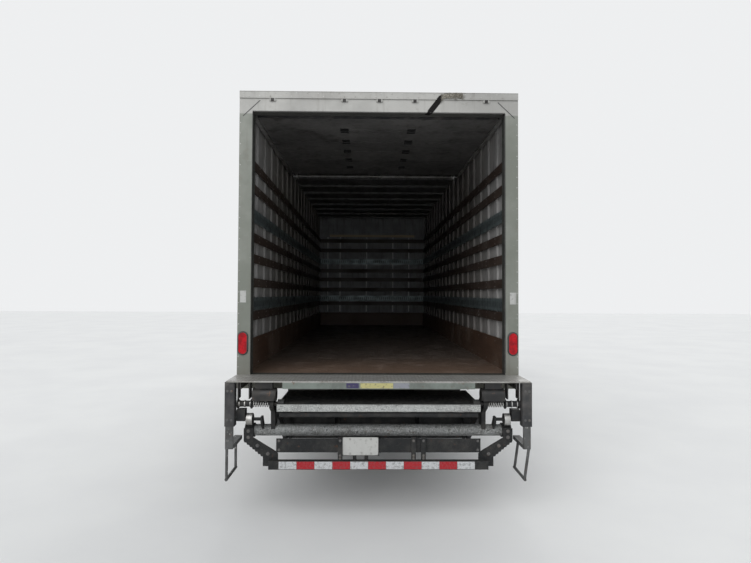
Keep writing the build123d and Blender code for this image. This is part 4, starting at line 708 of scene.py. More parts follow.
def skinPanel(name, look):
    # painted sheet outside, scuffed liner inside, told apart by where the face lies on the body
    g = Finish(name)
    outer = Vector(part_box("roof")[1]) - Vector((skinDeep, 0, skinDeep))
    outside = (abs(g.x) > outer.x) | (g.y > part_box("wall_front")[1].y - skinDeep) | (g.z > outer.z)
    rain = g.spots(0.5, 0.78, 1.0, 6, 0.6, g.stretched((7, 7, 0.35)))
    splash = remap(g.z + g.cloud(3, 6) * 0.5, 1.75, 1.15)
    skin = layered(
        look["skin"], (g.spots(0.35, 0.68, 0.8, 5), look["skinFaded"]), (rain * 0.16, look["skinDirt"]),
        (splash * 0.35, look["skinDirt"]),
    )
    liner = mixed(g.spots(0.36, 0.66, 2.6, 7, 0.64), look["liner"], look["linerWorn"])
    if "linerNear" in look:
        # painted daylight: the first metres of lining inside the opening are lighter, as if lit through it
        liner = mixed(remap(g.y, -2.6, -5.0) * 0.8, liner, look["linerNear"])
    streaks = g.spots(0.46, 0.7, 1.0, 8, 0.68, g.stretched((22, 22, 2.2)))
    scuffs = g.spots(0.58, 0.66, 1.0, 9, 0.72, g.stretched((14, 1.6, 14)))
    g["Base Color"] = layered(
        liner, (streaks * 0.6, look["linerDirt"]), (scuffs * 0.5, look["scuff"]), (outside, skin),
    )
    g["Roughness"] = g.spots(0.3, 0.75, 9, 6, span=(0.46, 0.72)) - outside * 0.18
    g.relief(g.cloud(120, 4) + scuffs * 0.6, 0.1, 0.001)
    return g.material


wallSkin = {"skin": (0.78, 0.785, 0.78), "skinFaded": (0.73, 0.735, 0.73), "skinDirt": (0.40, 0.38, 0.34)}
panelLiner = skinPanel("panelLiner", {
    **wallSkin, "liner": (0.215, 0.200, 0.185), "linerWorn": (0.135, 0.122, 0.110),
    # linerNear is painted daylight near the rear opening
    "linerDirt": (0.050, 0.040, 0.033), "scuff": (0.33, 0.32, 0.30), "linerNear": (0.46, 0.455, 0.45),
})
frontLiner = skinPanel("frontLiner", {
    **wallSkin, "liner": (0.36, 0.37, 0.38), "linerWorn": (0.26, 0.265, 0.27), "linerDirt": (0.10, 0.09, 0.08),
    "scuff": (0.45, 0.45, 0.44),
})
roofLiner = skinPanel("roofLiner", {
    "skin": (0.76, 0.765, 0.76), "skinFaded": (0.68, 0.685, 0.68), "skinDirt": (0.36, 0.34, 0.30),
    "liner": (0.155, 0.155, 0.152), "linerWorn": (0.095, 0.093, 0.090), "linerDirt": (0.035, 0.032, 0.030),
    "scuff": (0.24, 0.235, 0.225),
})


def markerLens(look):
    # amber over the cab; at the rear a small dark lens in a painted housing
    g = Finish("markerLens")
    lenses = band(g.x, look["rear"][0], look["half"])
    for place in look["rear"][1:]:
        lenses = lenses | band(g.x, place, look["half"])
    amber = mixed(g.spots(0.35, 0.7, 22, 5), look["amber"], look["deepAmber"])
    g["Base Color"] = mixed(g.y > 0.0, mixed(lenses, look["housing"], look["dark"]), amber)
    g["Roughness"] = g.spots(0.3, 0.7, 30, 5, span=(0.2, 0.45))
    g.relief(g.cells(160, spread=0.0), 0.4, 0.0015)
    return g.material


markerFinish = markerLens({
    "amber": (0.62, 0.20, 0.02), "deepAmber": (0.45, 0.12, 0.01), "dark": (0.010, 0.007, 0.006),
    "housing": (0.36, 0.355, 0.335), "half": 0.015, "rear": [-0.990, -0.325, 0.0, 0.330, 0.995],
})

nodeFinish = [
    (chassisPaint, "frame leaf_springs front_axle rear_axle drive_shaft battery_box tie_rod floor_sills"),
    (castIron, "exhaust engine knuckle_left knuckle_right"),
    (tyreRubber, "front_tyre_left front_tyre_right rear_tyres_left rear_tyres_right"),
    (wheelPaint, "front_wheel_left front_wheel_right rear_wheels_left rear_wheels_right"),
    (windowGlass, "cab_glass door_glass_left door_glass_right"), (cabPaint, "cab_shell hood"),
    (doorPaint, "door_left door_right"), (bumperPaint, "front_bumper"), (tankMetal, "fuel_tank"),
    (blackPlastic, "grille steering_wheel"), (headlampLens, "headlamps"), (greyPlastic, "dashboard seats"),
    (floorBoards, "cargo_floor"), (panelLiner, "wall_left wall_right"), (frontLiner, "wall_front"),
    (roofLiner, "roof"), (liningBoards, "wood_lining"), (railSteel, "cargo_rails"), (rearFrameCoat, "rear_frame"),
    (doorBoard, "roll_up_door"), (redLens, "tail_lamps"), (markerFinish, "marker_lamps"),
    (treadSteel, "sill_extension"), (bumperRubber, "dock_bumpers mudflaps"), (stepSteel, "side_steps"),
    (gatePaint, "gate_main_frame gate_flipover gate_guard gate_cylinder_barrel"), (armSteel, "gate_lift_arms"),
    (bareSteel, "door_tracks gate_springs"), (platformCoat, "gate_platform"), (chromeRod, "gate_cylinder_rod"),
]
for finish, names in nodeFinish:
    for name in names.split():
        for materialSlot in nodes[name].material_slots:
            materialSlot.material = finish
print("finishes on", len(nodeFinish), "groups of nodes")

# tyres: a ribbed road tread in front, a cross-cut drive tread behind
tyreLook = {
    "radius": 0.4995, "half": 0.11, "crown": 0.0045, "rib": 0.012, "groove": 0.012, "wall": 0.001, "pitches": 54,
    "ribEdges": [0.0880, 0.0340], "edge": 0.02, "cutShare": 0.16,
    # how deep the cross cuts go at the shoulder and on the middle rib, and how much they slant
    "road": {"shoulder": 0.004, "middle": 0.0, "slant": 0.105},
    "drive": {"shoulder": 0.009, "middle": 0.008, "slant": 0.35},
    # distance from the mid plane, radius
    "side": [
        (0.1005, 0.3012), (0.110, 0.308), (0.127, 0.335), (0.1335, 0.352), (0.1345, 0.366), (0.1372, 0.402),
        (0.1352, 0.430), (0.1340, 0.436), (0.1325, 0.448), (0.1265, 0.4665), (0.1190, 0.4800), (0.1110, 0.4925),
    ],
}
wheelPlaces = {"front": [1.030], "rear": [1.080, 0.755]}


def tyreRow(tread):
    # one side of the section, from bead to mid plane: (offset, radius, how deep a cross cut goes here)
    shoulder, side = tread["shoulder"], tyreLook["side"]
    row = [(x, r, 0.0) for x, r in side[:-2]] + [(x, r, shoulder) for x, r in side[-2:]]
    half, wall = tyreLook["groove"] / 2, tyreLook["wall"]
    for edge in tyreLook["ribEdges"]:
        top = tyreLook["radius"] - tyreLook["crown"] * (edge / tyreLook["half"]) ** 2
        foot = top - tyreLook["rib"]
        row += [(edge + half, top, shoulder), (edge + half - wall, foot, 0.0)]
        row += [(edge - half + wall, foot, 0.0), (edge - half, top, tread["middle"])]
    return row


def addTyre(bm, wheelX, axle, tread):
    row = tyreRow(tread)
    section = row + [(-x, r, cut) for x, r, cut in reversed(row)]
    edge, wide = tyreLook["edge"], tyreLook["cutShare"]
    rings = []
    for pitch in range(tyreLook["pitches"]):
        for share, cut in ((0.0, 0), (edge, 1), (wide, 1), (wide + edge, 0)):
            ring = []
            for x, radius, depth in section:
                skew = tread["slant"] * x / tyreLook["half"]
                angle = 2 * math.pi * (pitch + share + skew) / tyreLook["pitches"]
                r = radius - depth * cut
                ring.append(bm.verts.new((wheelX + x, axle.y + r * math.cos(angle), axle.z + r * math.sin(angle))))
            rings.append(ring)
    bridge(bm, rings + rings[:1])


def makeTyres(node, body, side, end):
    bm = bmesh.new()
    for wheelX in wheelPlaces[end]:
        addTyre(bm, side * wheelX, middleOf(node), tyreLook["drive" if end == "rear" else "road"])
    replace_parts(newPiece(node + "_tread", bm, body, tyreRubber), node)


# wheel nuts, hub caps and valves; disc and hub are distances from the wheel's middle
wheelLook = {
    "circle": 0.143, "nuts": 10, "front": {"disc": 0.069, "hub": 0.131}, "rear": {"disc": -0.1485, "hub": 0.062},
    "oilCap": [(0.080, -0.002), (0.080, -0.001), (0.066, 0.0), (0.066, 0.0005)],
    "hubDome": [(0.052, -0.001), (0.050, 0.016), (0.040, 0.024), (0.020, 0.028)],
    "nutSeat": [(0.021, -0.001), (0.021, 0.005)], "nut": [(0.0165, 0.004), (0.0165, 0.020), (0.012, 0.024)],
    "stud": [(0.010, 0.020), (0.010, 0.036), (0.007, 0.038)],
    "valve": [(0.006, -0.002), (0.005, 0.030), (0.0065, 0.031), (0.0065, 0.042)],
}


def ringOf(count, radius, middle, turn=0.0):
    for i in range(count):
        a = 2 * math.pi * (i + turn) / count
        yield Vector((middle.x, middle.y + radius * math.cos(a), middle.z + radius * math.sin(a)))


def makeWheelTrim(node, body, side, end):
    axle = middleOf(node)
    outward = (side, 0, 0)
    disc, hub, bolts = (
        Vector((side * (wheelPlaces[end][0] + reach), axle.y, axle.z))
        for reach in (wheelLook[end]["disc"], wheelLook[end]["hub"], wheelLook[end]["hub"] - 0.001)
    )
    bm = bmesh.new()
    for place in ringOf(wheelLook["nuts"], wheelLook["circle"], disc):
        lathe(bm, place, outward, wheelLook["nutSeat"], 14)
        lathe(bm, place, outward, wheelLook["nut"], 6)
        lathe(bm, place, outward, wheelLook["stud"], 10)
    if end == "front":
        # oil cap: a short drum with a clear face and six small bolts
        lathe(bm, hub, outward, wheelLook["oilCap"], 28)
        for place in ringOf(6, 0.074, bolts):
            boltHead(bm, place, outward, 0.012, 0.0012, False)
    else:
        # axle flange with a ring of bolts about its domed middle
        for place in ringOf(10, 0.078, bolts, 0.5):
            boltHead(bm, place, outward, 0.020, 0.013)
        lathe(bm, hub, outward, wheelLook["hubDome"], 28)
    word = f"{words[side]}_{end}"
    newPiece(f"wheel_nuts_{word}", bm, body, castIron)
    valve = bmesh.new()
    lathe(valve, disc + Vector((0, 0.235, 0.02)), outward, wheelLook["valve"], 10)
    newPiece(f"valve_{word}", valve, body, bareSteel)


for side, word in words.items():
    makeTyres(f"front_tyre_{word}", f"wheel_front_{word}", side, "front")
    makeTyres(f"rear_tyres_{word}", f"wheels_rear_{word}", side, "rear")
    makeWheelTrim(f"front_wheel_{word}", f"wheel_front_{word}", side, "front")
    makeWheelTrim(f"rear_wheels_{word}", f"wheels_rear_{word}", side, "rear")
print("tyres and wheel trim made")

# retroreflective tape on the guard bar, white first from the left
tapeLook = {
    "block": 0.152, "gap": 0.0008, "start": -0.850, "count": 11, "inset": 0.004, "proud": 0.0008, "tall": 0.072,
}
tapes = [(whiteTape, "white", "body_white", 0), (redTape, "red", "lens_red", 1)]


def makeGuardTape():
    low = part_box("gate_guard")[0]
    block, gap, inset = tapeLook["block"], tapeLook["gap"], tapeLook["inset"]
    for material, colour, slotName, first in tapes:
        bm = bmesh.new()
        for index in range(first, tapeLook["count"], 2):
            x = tapeLook["start"] + index * block
            foot = (x + gap, low.y - tapeLook["proud"], low.z + inset)
            addSlab(bm, foot, (x + block - gap, low.y + 0.0005, low.z + tapeLook["tall"] - inset))
        newPiece(f"tape_{colour}", bm, "gate_guard", material)


# blank licence plate in its frame, on four screws
plateLook = {
    "x": -0.156, "z": 0.606, "halfX": 0.1525, "halfZ": 0.076, "deep": 0.035, "thick": 0.0012, "rim": 0.007,
    "screws": (0.089, 0.0605),
}
platePaint = wornPaint("platePaint", {
    "colour": (0.50, 0.50, 0.48), "faded": (0.38, 0.38, 0.365), "dirt": (0.13, 0.12, 0.10), "streaks": 0.35,
    "smudges": 0.6, "smudgeScale": 22, "chipEdge": 0.66, "rough": (0.35, 0.6), "bump": 0.15,
})


def addFrame(bm, across, up, y, rim, ease):
    # four bars round an opening; across and up are its outer edges
    (x0, x1), (z0, z1) = across, up
    bars = [(x0, x1, z0, z0 + rim), (x0, x1, z1 - rim, z1), (x0, x0 + rim, z0, z1), (x1 - rim, x1, z0, z1)]
    for a, b, c, d in bars:
        addSlab(bm, (a, y[0], c), (b, y[1], d), ease)


def makeLicencePlate():
    x, z, halfX, halfZ = (plateLook[key] for key in ("x", "z", "halfX", "halfZ"))
    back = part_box("gate_guard")[0].y + plateLook["deep"]
    front = back - plateLook["thick"]
    bm = bmesh.new()
    addSlab(bm, (x - halfX, front, z - halfZ), (x + halfX, back, z + halfZ), 0.0004)
    rimY = (front - 0.0016, front + 0.0002)
    addFrame(bm, (x - halfX, x + halfX), (z - halfZ, z + halfZ), rimY, plateLook["rim"], 0.0006)
    newPiece("licence_blank", bm, "gate_guard", platePaint)
    screws = bmesh.new()
    screwX, screwZ = plateLook["screws"]
    for sideX in (-1, 1):
        for sideZ in (-1, 1):
            boltHead(screws, (x + sideX * screwX, front, z + sideZ * screwZ), backwards, 0.013, 0.006)
    newPiece("licence_screws", screws, "gate_guard", bareSteel)


makeGuardTape()
makeLicencePlate()
print("tape and plate made")

# torsion springs on the liftgate's hinge shaft: radius and turns of the wire coil
springLook = {"wire": 0.0062, "radius": 0.0236, "turns": 7, "steps": 12, "inner": 0.942, "clear": 0.004}


def makeSprings():
    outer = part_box("gate_springs")[1].x - springLook["clear"]
    middle = middleOf("gate_springs")
    shape = (middle.y, middle.z, springLook["radius"], springLook["turns"], springLook["steps"])
    runs = [coil(side * springLook["inner"], side * outer, *shape) for side in words]
    piece = newCurve("gate_spring_coils", runs, springLook["wire"], "gate_arms", bareSteel, sides=3)
    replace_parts(piece, "gate_springs")


# bolts, pads and edge strips on the liftgate and the bed extension
gateTrim = {
    "bumperBoltX": (1.2495, 1.2855), "bumperBoltUp": (0.055, 0.300), "collars": (1.102, 1.150, 1.196),
    "rollerTyre": [(0.0502, 0.0), (0.0510, 0.004), (0.0510, 0.046), (0.0502, 0.050)],
    # bolts along the guard plates: (x, z)
    "outerPlate": [(1.125, 0.725), (1.125, 0.672), (1.045, 0.600), (0.955, 0.530), (0.900, 0.470)],
    "innerPlate": [(0.855, 0.650), (0.855, 0.572)], "panelX": (-0.330, 0.300, 0.385), "panelZ": (0.505, 0.530, 0.655),
    # heights of the wear strips on the folded platform
    "strips": (0.9135, 0.9650),
}


def makeGateTrim():
    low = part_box("dock_bumpers")[0]
    bm = bmesh.new()
    for x in gateTrim["bumperBoltX"]:
        for up in gateTrim["bumperBoltUp"]:
            both(lathe, bm, (x, low.y, low.z + up), backwards, [(0.011, -0.001), (0.011, 0.0012)], 14)
            both(lathe, bm, (x, low.y, low.z + up), backwards, [(0.0075, 0.0010), (0.0075, 0.0019)], 6)
    newPiece("bumper_bolts", bm, "chassis", castIron)

    # grease caps and collars on the hinge line
    hinge = middleOf("gate_springs")
    bm = bmesh.new()
    both(lathe, bm, (1.214, hinge.y, hinge.z), outwards, [(0.030, 0), (0.030, 0.0015), (0.018, 0.002)], 20)
    for x in gateTrim["collars"]:
        both(lathe, bm, (x, hinge.y, hinge.z), outwards, [(0.0300, -0.004), (0.0300, 0.004)], 22)
    newPiece("hinge_collars", bm, "gate_arms", bareSteel)

    # worn rollers are bright on the rolling face
    bm = bmesh.new()
    rollerY, rollerZ = hinge.y + 0.0156, 0.830
    both(lathe, bm, (1.0855, rollerY, rollerZ), outwards, gateTrim["rollerTyre"], 32)
    both(boltHead, bm, (1.2175, rollerY, rollerZ + 0.05), outwards, 0.022, 0.0004, False)
    newPiece("roller_tyres", bm, "gate_arms", bareSteel)

    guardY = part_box("gate_guard")[0].y
    bm = bmesh.new()
    for x, z in gateTrim["outerPlate"]:
        both(boltHead, bm, (x, guardY + 0.076, z), backwards, 0.024, 0.012)
    for x, z in gateTrim["innerPlate"]:
        both(boltHead, bm, (x, guardY + 0.044, z), backwards, 0.018, 0.009)
    for x in gateTrim["panelX"]:
        for z in gateTrim["panelZ"]:
            boltHead(bm, (x, guardY + 0.026, z), backwards, 0.018, 0.009)
    newPiece("guard_bolts", bm, "gate_guard", castIron)

    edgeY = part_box("gate_platform")[0].y
    bm = bmesh.new()
    for z in gateTrim["strips"]:
        addSlab(bm, (-0.866, edgeY, z - 0.0025), (0.866, edgeY + 0.004, z + 0.0025), 0.001)
    newPiece("platform_strips", bm, "gate_platform", platformCoat)


makeSprings()
makeGateTrim()
print("liftgate springs and trim made")

# rear frame: rivets on the roof cap, mitred seams at the corners, black strips of painted shade along the opening's
# edges, and lamp bezels
rearLook = {
    "rivetPitch": 0.098, "seam": [(1.105, 3.704), (1.262, 3.556)], "lampMiddle": (1.243, 1.457),
    "lampSize": (0.075, 0.195), "bezel": 0.012, "post": 1.1745, "step": 0.006, "postRivets": 24,
    "postRivetPlace": (1.284, 1.24), "capRivetRows": [(0.018, 0.0), (0.048, 0.5)],
    # rolled edges under and over the cap: how proud, from and to below the top, eased edge
    "edges": [(0.004, 0.068, 0.060, 0.002), (0.003, 0.006, 0.0005, 0.0015)],
}


def addStrip(bm, start, end, width, back, proud):
    # a thin strip on the rear face, between two (x, z) points
    a, b = Vector((start[0], 0, start[1])), Vector((end[0], 0, end[1]))
    way = (b - a).normalized()
    aside = Vector((-way.z, 0, way.x)) * width / 2
    corners = [a + aside, b + aside, b - aside, a - aside]
    near, far = ([bm.verts.new((c.x, y, c.z)) for c in corners] for y in (back - proud, back + 0.001))
    bm.faces.new(near)
    bm.faces.new(list(reversed(far)))
    bridge(bm, [near, far])


def addOvalRing(bm, middle, size, rim, back, proud):
    # a flat-sided oval ring standing on the rear face
    reach = (size[1] - size[0]) / 2
    turns = [(math.pi * (half + i / 32), reach * (1 - 2 * half)) for half in (0, 1) for i in range(33)]
    rows = []
    for grow, rise in ((-0.002, 0.0), (-0.002, proud), (rim * 0.5, proud + 0.002), (rim, proud * 0.4), (rim, 0.0)):
        radius = size[0] / 2 + grow
        rows.append([
            bm.verts.new((middle[0] + radius * math.cos(a), back - rise, middle[1] + up + radius * math.sin(a)))
            for a, up in turns
        ])
    bridge(bm, rows)


def makeRearTrim():
    low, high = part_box("rear_frame")
    capFace, postFace = low.y, low.y + rearLook["step"]
    pitch = rearLook["rivetPitch"]
    bm = bmesh.new()
    for down, shift in rearLook["capRivetRows"]:
        for i in range(int((high.x - low.x - 0.06) / pitch)):
            rivet(bm, (low.x + 0.04 + (i + shift) * pitch, capFace, high.z - down), backwards, 0.0065, 0.0028)
    rivetX, rivetZ = rearLook["postRivetPlace"]
    for i in range(rearLook["postRivets"]):
        both(rivet, bm, (rivetX, postFace, rivetZ + i * pitch), backwards, 0.005, 0.002)
    newPiece("cap_rivets", bm, "chassis", bareSteel)

    bm = bmesh.new()
    for proud, down, up, ease in rearLook["edges"]:
        foot = (low.x + 0.001, capFace - proud, high.z - down)
        addSlab(bm, foot, (high.x - 0.001, capFace + 0.002, high.z - up), ease)
    newPiece("cap_edges", bm, "chassis", rearFrameCoat)
    seamsAndEdgeShade = bmesh.new()
    post, near, far = rearLook["post"], postFace - 0.001, postFace + 0.001
    start, end = rearLook["seam"]
    both(addStrip, seamsAndEdgeShade, start, end, 0.007, postFace, 0.0012)
    # painted shade: black strips down each post's inner edge and along the top of the opening
    both(addSlab, seamsAndEdgeShade, (post - 0.0015, near, 1.19), (post + 0.0015, far, 3.595))
    addSlab(seamsAndEdgeShade, (-1.173, near, 3.6025), (1.173, far, 3.6055))
    newPiece("frame_seams_and_edge_shade", seamsAndEdgeShade, "chassis", blackPlastic)
    bezels = bmesh.new()
    lampX, lampZ = rearLook["lampMiddle"]
    for side in words:
        addOvalRing(bezels, (side * lampX, lampZ), rearLook["lampSize"], rearLook["bezel"], postFace, 0.011)
    newPiece("lamp_bezels", bezels, "chassis", blackPlastic, True)

    # rubber seals beside the opening
    seals = bmesh.new()
    for side in words:
        foot = (side * 1.173 - 0.004, postFace + 0.020, 1.172)
        addSlab(seals, foot, (side * 1.174, postFace + 0.034, 3.600), 0.001)
    newPiece("opening_seals", seals, "chassis", bumperRubber)


makeRearTrim()
print("rear frame trim made")

# roll-up door: hinges between its sections, a bottom seal and the spring shaft with its two drums
doorLook = {
    "rows": [-0.354, 0.354], "leaf": (0.086, 0.150), "sections": 6, "length": 0.405, "rivets": (0.018, 0.030),
    "drum": [
        (0.020, 0), (0.052, 0.002), (0.052, 0.006), (0.046, 0.010), (0.046, 0.030), (0.052, 0.034), (0.052, 0.038),
        (0.020, 0.040),
    ],
    "spring": {"wire": 0.0030, "radius": 0.030, "turns": 70, "steps": 8, "from": 0.08, "to": 1.0},
}


def makeDoorHardware():
    low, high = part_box("roll_up_door")
    hinges = bmesh.new()
    halfX, halfY = doorLook["leaf"][0] / 2, doorLook["leaf"][1] / 2
    rivetX, rivetY = doorLook["rivets"]
    for section in range(1, doorLook["sections"]):
        y = low.y + section * doorLook["length"] - 0.002
        for x in doorLook["rows"]:
            addSlab(hinges, (x - halfX, y - halfY, low.z - 0.003), (x + halfX, y + halfY, low.z + 0.001), 0.001)
            lathe(hinges, (x - halfX, y, low.z - 0.008), outwards, [(0.009, 0), (0.009, doorLook["leaf"][0])], 12)
            for a in (-rivetX, rivetX):
                for b in (-rivetY, rivetY):
                    rivet(hinges, (x + a, y + b, low.z - 0.003), (0, 0, -1), 0.006, 0.003)
    newPiece("door_hinges", hinges, "chassis", hingeBlack)
    bottom = bmesh.new()
    foot = (low.x + 0.004, low.y - 0.016, low.z - 0.004)
    addSlab(bottom, foot, (high.x - 0.004, low.y + 0.010, high.z + 0.004), 0.004)
    newPiece("door_bottom_seal", bottom, "chassis", bumperRubber)
    shaft = bmesh.new()
    y, z = high.y + 0.115, high.z - 0.030
    lathe(shaft, (-1.20, y, z), outwards, [(0.0127, 0), (0.0127, 2.40)], 14)
    both(lathe, shaft, (1.12, y, z), outwards, doorLook["drum"], 26)
    both(addSlab, shaft, (0.027, y - 0.04, z - 0.02), (0.033, y + 0.04, 3.755))
    newPiece("door_shaft", shaft, "chassis", bareSteel)
    spring = doorLook["spring"]
    shape = (y, z, spring["radius"], spring["turns"], spring["steps"])
    runs = [coil(side * spring["from"], side * spring["to"], *shape) for side in words]
    newCurve("door_springs", runs, spring["wire"], "chassis", bareSteel, capped=False, sides=1)


makeDoorHardware()
print("door hardware made")

# cargo body outside: rails along the edges, rivet rows, side markers and side tape
bodyLook = {
    "railTall": 0.085, "bottomTall": 0.14, "rivetPitch": 0.15, "postPitch": 0.406, "postRivets": 16, "upPitch": 0.152,
    "tapePitch": 1.22, "tapeBlock": 0.152, "markerHalf": (0.030, 0.013),
}


def makeBodyTrim():
    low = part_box("wall_left")[0]
    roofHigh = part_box("roof")[1]
    outer, top = roofHigh.x, roofHigh.z
    rearY, frontY = low.y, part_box("wall_front")[1].y
    rails = bmesh.new()
    for inset, proud, y0, y1, z0, z1 in (
        # along the roof, along the floor, then the two faces of each front corner
        (0.002, 0.003, rearY + 0.001, frontY - 0.001, top - bodyLook["railTall"], top - 0.0008),
        (0.002, 0.003, rearY + 0.001, frontY - 0.05, low.z + 0.001, low.z + bodyLook["bottomTall"]),
        (0.002, 0.0024, frontY - 0.11, frontY + 0.0014, low.z + 0.002, top - 0.002),
        (0.11, 0.0014, frontY - 0.002, frontY + 0.0024, low.z + 0.002, top - 0.002),
    ):
        both(addSlab, rails, (outer - inset, y0, z0), (outer + proud, y1, z1), 0.001)
    for z0, z1 in ((top - 0.11, top - 0.001), (low.z + 0.001, low.z + 0.16)):
        addSlab(rails, (-outer + 0.003, frontY - 0.002, z0), (outer - 0.003, frontY + 0.0034, z1), 0.001)
    newPiece("body_rails", rails, "chassis", bodySkin)

    bm = bmesh.new()
    for i in range(int((frontY - rearY) / bodyLook["rivetPitch"])):
        for z in (top - 0.060, low.z + 0.105):
            both(rivet, bm, (outer + 0.0028, rearY + 0.07 + i * bodyLook["rivetPitch"], z), outwards, 0.006, 0.0022)
    for i in range(int((frontY - rearY - 0.2) / bodyLook["postPitch"])):
        for k in range(bodyLook["postRivets"]):
            y, z = rearY + 0.12 + i * bodyLook["postPitch"], low.z + 0.22 + k * bodyLook["upPitch"]
            both(rivet, bm, (outer - 0.0002, y, z), outwards, 0.0055, 0.0018)
    newPiece("body_rivets", bm, "chassis", bodySkin)

    # side marker lamps: red at the rear, amber in the middle and at the front, low and high
    lowRow, highRow = low.z + 0.07, top - 0.042
    halfY, halfZ = bodyLook["markerHalf"]
    for name, y, material, slotName, rows in (
        ("rear", rearY + 0.09, redLens, "lens_red", (lowRow, highRow)),
        ("middle", (rearY + frontY) / 2, amberLens, "lens_dark", (lowRow,)),
        ("front", frontY - 0.16, amberLens, "lens_dark", (lowRow, highRow)),
    ):
        bm = bmesh.new()
        for z in rows:
            both(addSlab, bm, (outer - 0.002, y - halfY, z - halfZ), (outer + 0.016, y + halfY, z + halfZ), 0.004)
        newPiece(f"side_markers_{name}", bm, "chassis", material)

    # red and white tape in stretches along each bottom rail
    block = bodyLook["tapeBlock"]
    for material, colour, slotName, first in tapes:
        bm = bmesh.new()
        start = rearY + 0.30
        while start + 0.61 < frontY - 0.3:
            for k in range(first, 4, 2):
                foot = (outer + 0.002, start + k * block, low.z + 0.028)
                both(addSlab, bm, foot, (outer + 0.0042, start + (k + 1) * block - 0.001, low.z + 0.079))
            start += bodyLook["tapePitch"]
        newPiece(f"side_tape_{colour}", bm, "chassis", material)


makeBodyTrim()
print("body trim made")

# inside: screws along the posts and boards, each row at a height with a pair's spread
liningLook = {
    "screwPitch": 0.406, "face": 1.233,
    "rows": [(0.15, 0.22), (0.52, 0.05), (0.85, 0.05), (1.09, 0.05), (1.30, 0.05), (1.79, 0.05), (2.02, 0.05)],
}


def makeLiningScrews():
    low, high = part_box("wood_lining")
    bm = bmesh.new()
    for height, spread in liningLook["rows"]:
        y = low.y + 0.108
        while y < high.y - 0.1:
            for shift in (-spread / 2, spread / 2):
                both(rivet, bm, (liningLook["face"], y, low.z + height + shift), (-1, 0, 0), 0.008, 0.002)
            y += liningLook["screwPitch"]
    newPiece("lining_screws", bm, "chassis", bareSteel)


makeLiningScrews()
print("lining screws made")

# seats: crowned cushions with sewn channels on steel bases; places hold middle x, width and number of seats
seatLook = {
    "floor": 1.122, "back": 2.852, "places": {"driver": (-0.470, 0.500, 1), "bench": (0.380, 0.800, 2)},
    "pitch": 0.42, "lean": math.radians(7.5), "headRest": (0.27, 0.085, 0.15), "postX": 0.055, "railX": 0.09,
    # base boxes: how far in from the cushion's ends, y from and to, z from and to, eased edge
    "boxes": [(0.06, 0.335, 0.715, 0.012, 0.170, 0.012), (0.02, 0.300, 0.770, 0.168, 0.192, 0.006)],
}
# a pad's form in shares of its half size, and how high it is crowned, grooved and pinched
padLook = {
    "crown": 0.030, "groove": 0.010, "grooves": (-0.42, 0.42), "grooveWide": 0.028, "seam": 0.15, "seamWide": 0.03,
    "pinch": 0.010, "cuts": 22, "soft": 0.252, "face": 0.9,
}


def wovenCloth(name, look):
    # plain weave of two yarn directions with worn, dusty patches
    g = Finish(name)
    pitch = look["pitch"]
    def yarn(place, shift):
        return remap(abs((place + shift) % pitch - pitch / 2), 0, pitch / 2, 1, 0)
    weave = yarn(g.x, 0.0) | (yarn(g.y, pitch / 2) | yarn(g.z, pitch / 2))
    dust = g.spots(0.42, 0.72, 7, 7, 0.65)
    g["Base Color"] = mixed(dust * 0.4, mixed(weave, look["deep"], look["colour"]), look["dust"])
    g["Roughness"] = remap(dust, 0, 1, 0.85, 0.97)
    g["Sheen Weight"] = 0.25
    g.relief(weave + g.cloud(300, 3), 0.35, 0.0009)
    return g.material


seatCloth = wovenCloth("seatCloth", {
    "pitch": 0.0028, "deep": (0.045, 0.046, 0.050), "colour": (0.105, 0.107, 0.113), "dust": (0.20, 0.19, 0.17),
})


def addCushion(name, middle, size, lean=0.0, grooves=padLook["grooves"], top=2):
    # a closed pad: rounded box, crowned on its sitting face, pinched along its seams
    bm = bmesh.new()
    bmesh.ops.create_cube(bm, size=2.0)
    bmesh.ops.subdivide_edges(bm, edges=bm.edges[:], cuts=padLook["cuts"], use_grid_fill=True)
    def rounded(own, a, b):
        ball = math.sqrt(max(0, 1 - a * a / 2 - b * b / 2 + a * a * b * b / 3))
        return own * (1 - padLook["soft"] * (1 - ball))
    turn = Matrix.Rotation(lean, 4, "X")
    for v in bm.verts:
        x, y, z = v.co
        place = Vector((rounded(x, y, z), rounded(y, x, z), rounded(z, x, y))) * Vector(size) / 2
        face, other = (z, y) if top == 2 else (y, z)
        if face > padLook["face"]:
            rise = padLook["crown"] * (1 - x * x) * (1 - other * other)
            for groove in grooves:
                rise -= padLook["groove"] * math.exp(-((x - groove) / padLook["grooveWide"]) ** 2) * (1 - other ** 6)
            seam = (other - padLook["seam"]) / padLook["seamWide"]
            place[top] += rise - padLook["groove"] * math.exp(-seam ** 2) * (1 - x ** 6)
        elif abs(x) > padLook["face"]:
            place.x -= math.copysign(padLook["pinch"] * (1 - other * other), x)
        v.co = turn @ place + Vector(middle)
    piece = newPiece(name, bm, "chassis", seatCloth, True)
    rounder = piece.modifiers.new("rounder", "SUBSURF")
    rounder.levels = 1
    rounder.render_levels = 1
    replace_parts(piece, "seats")


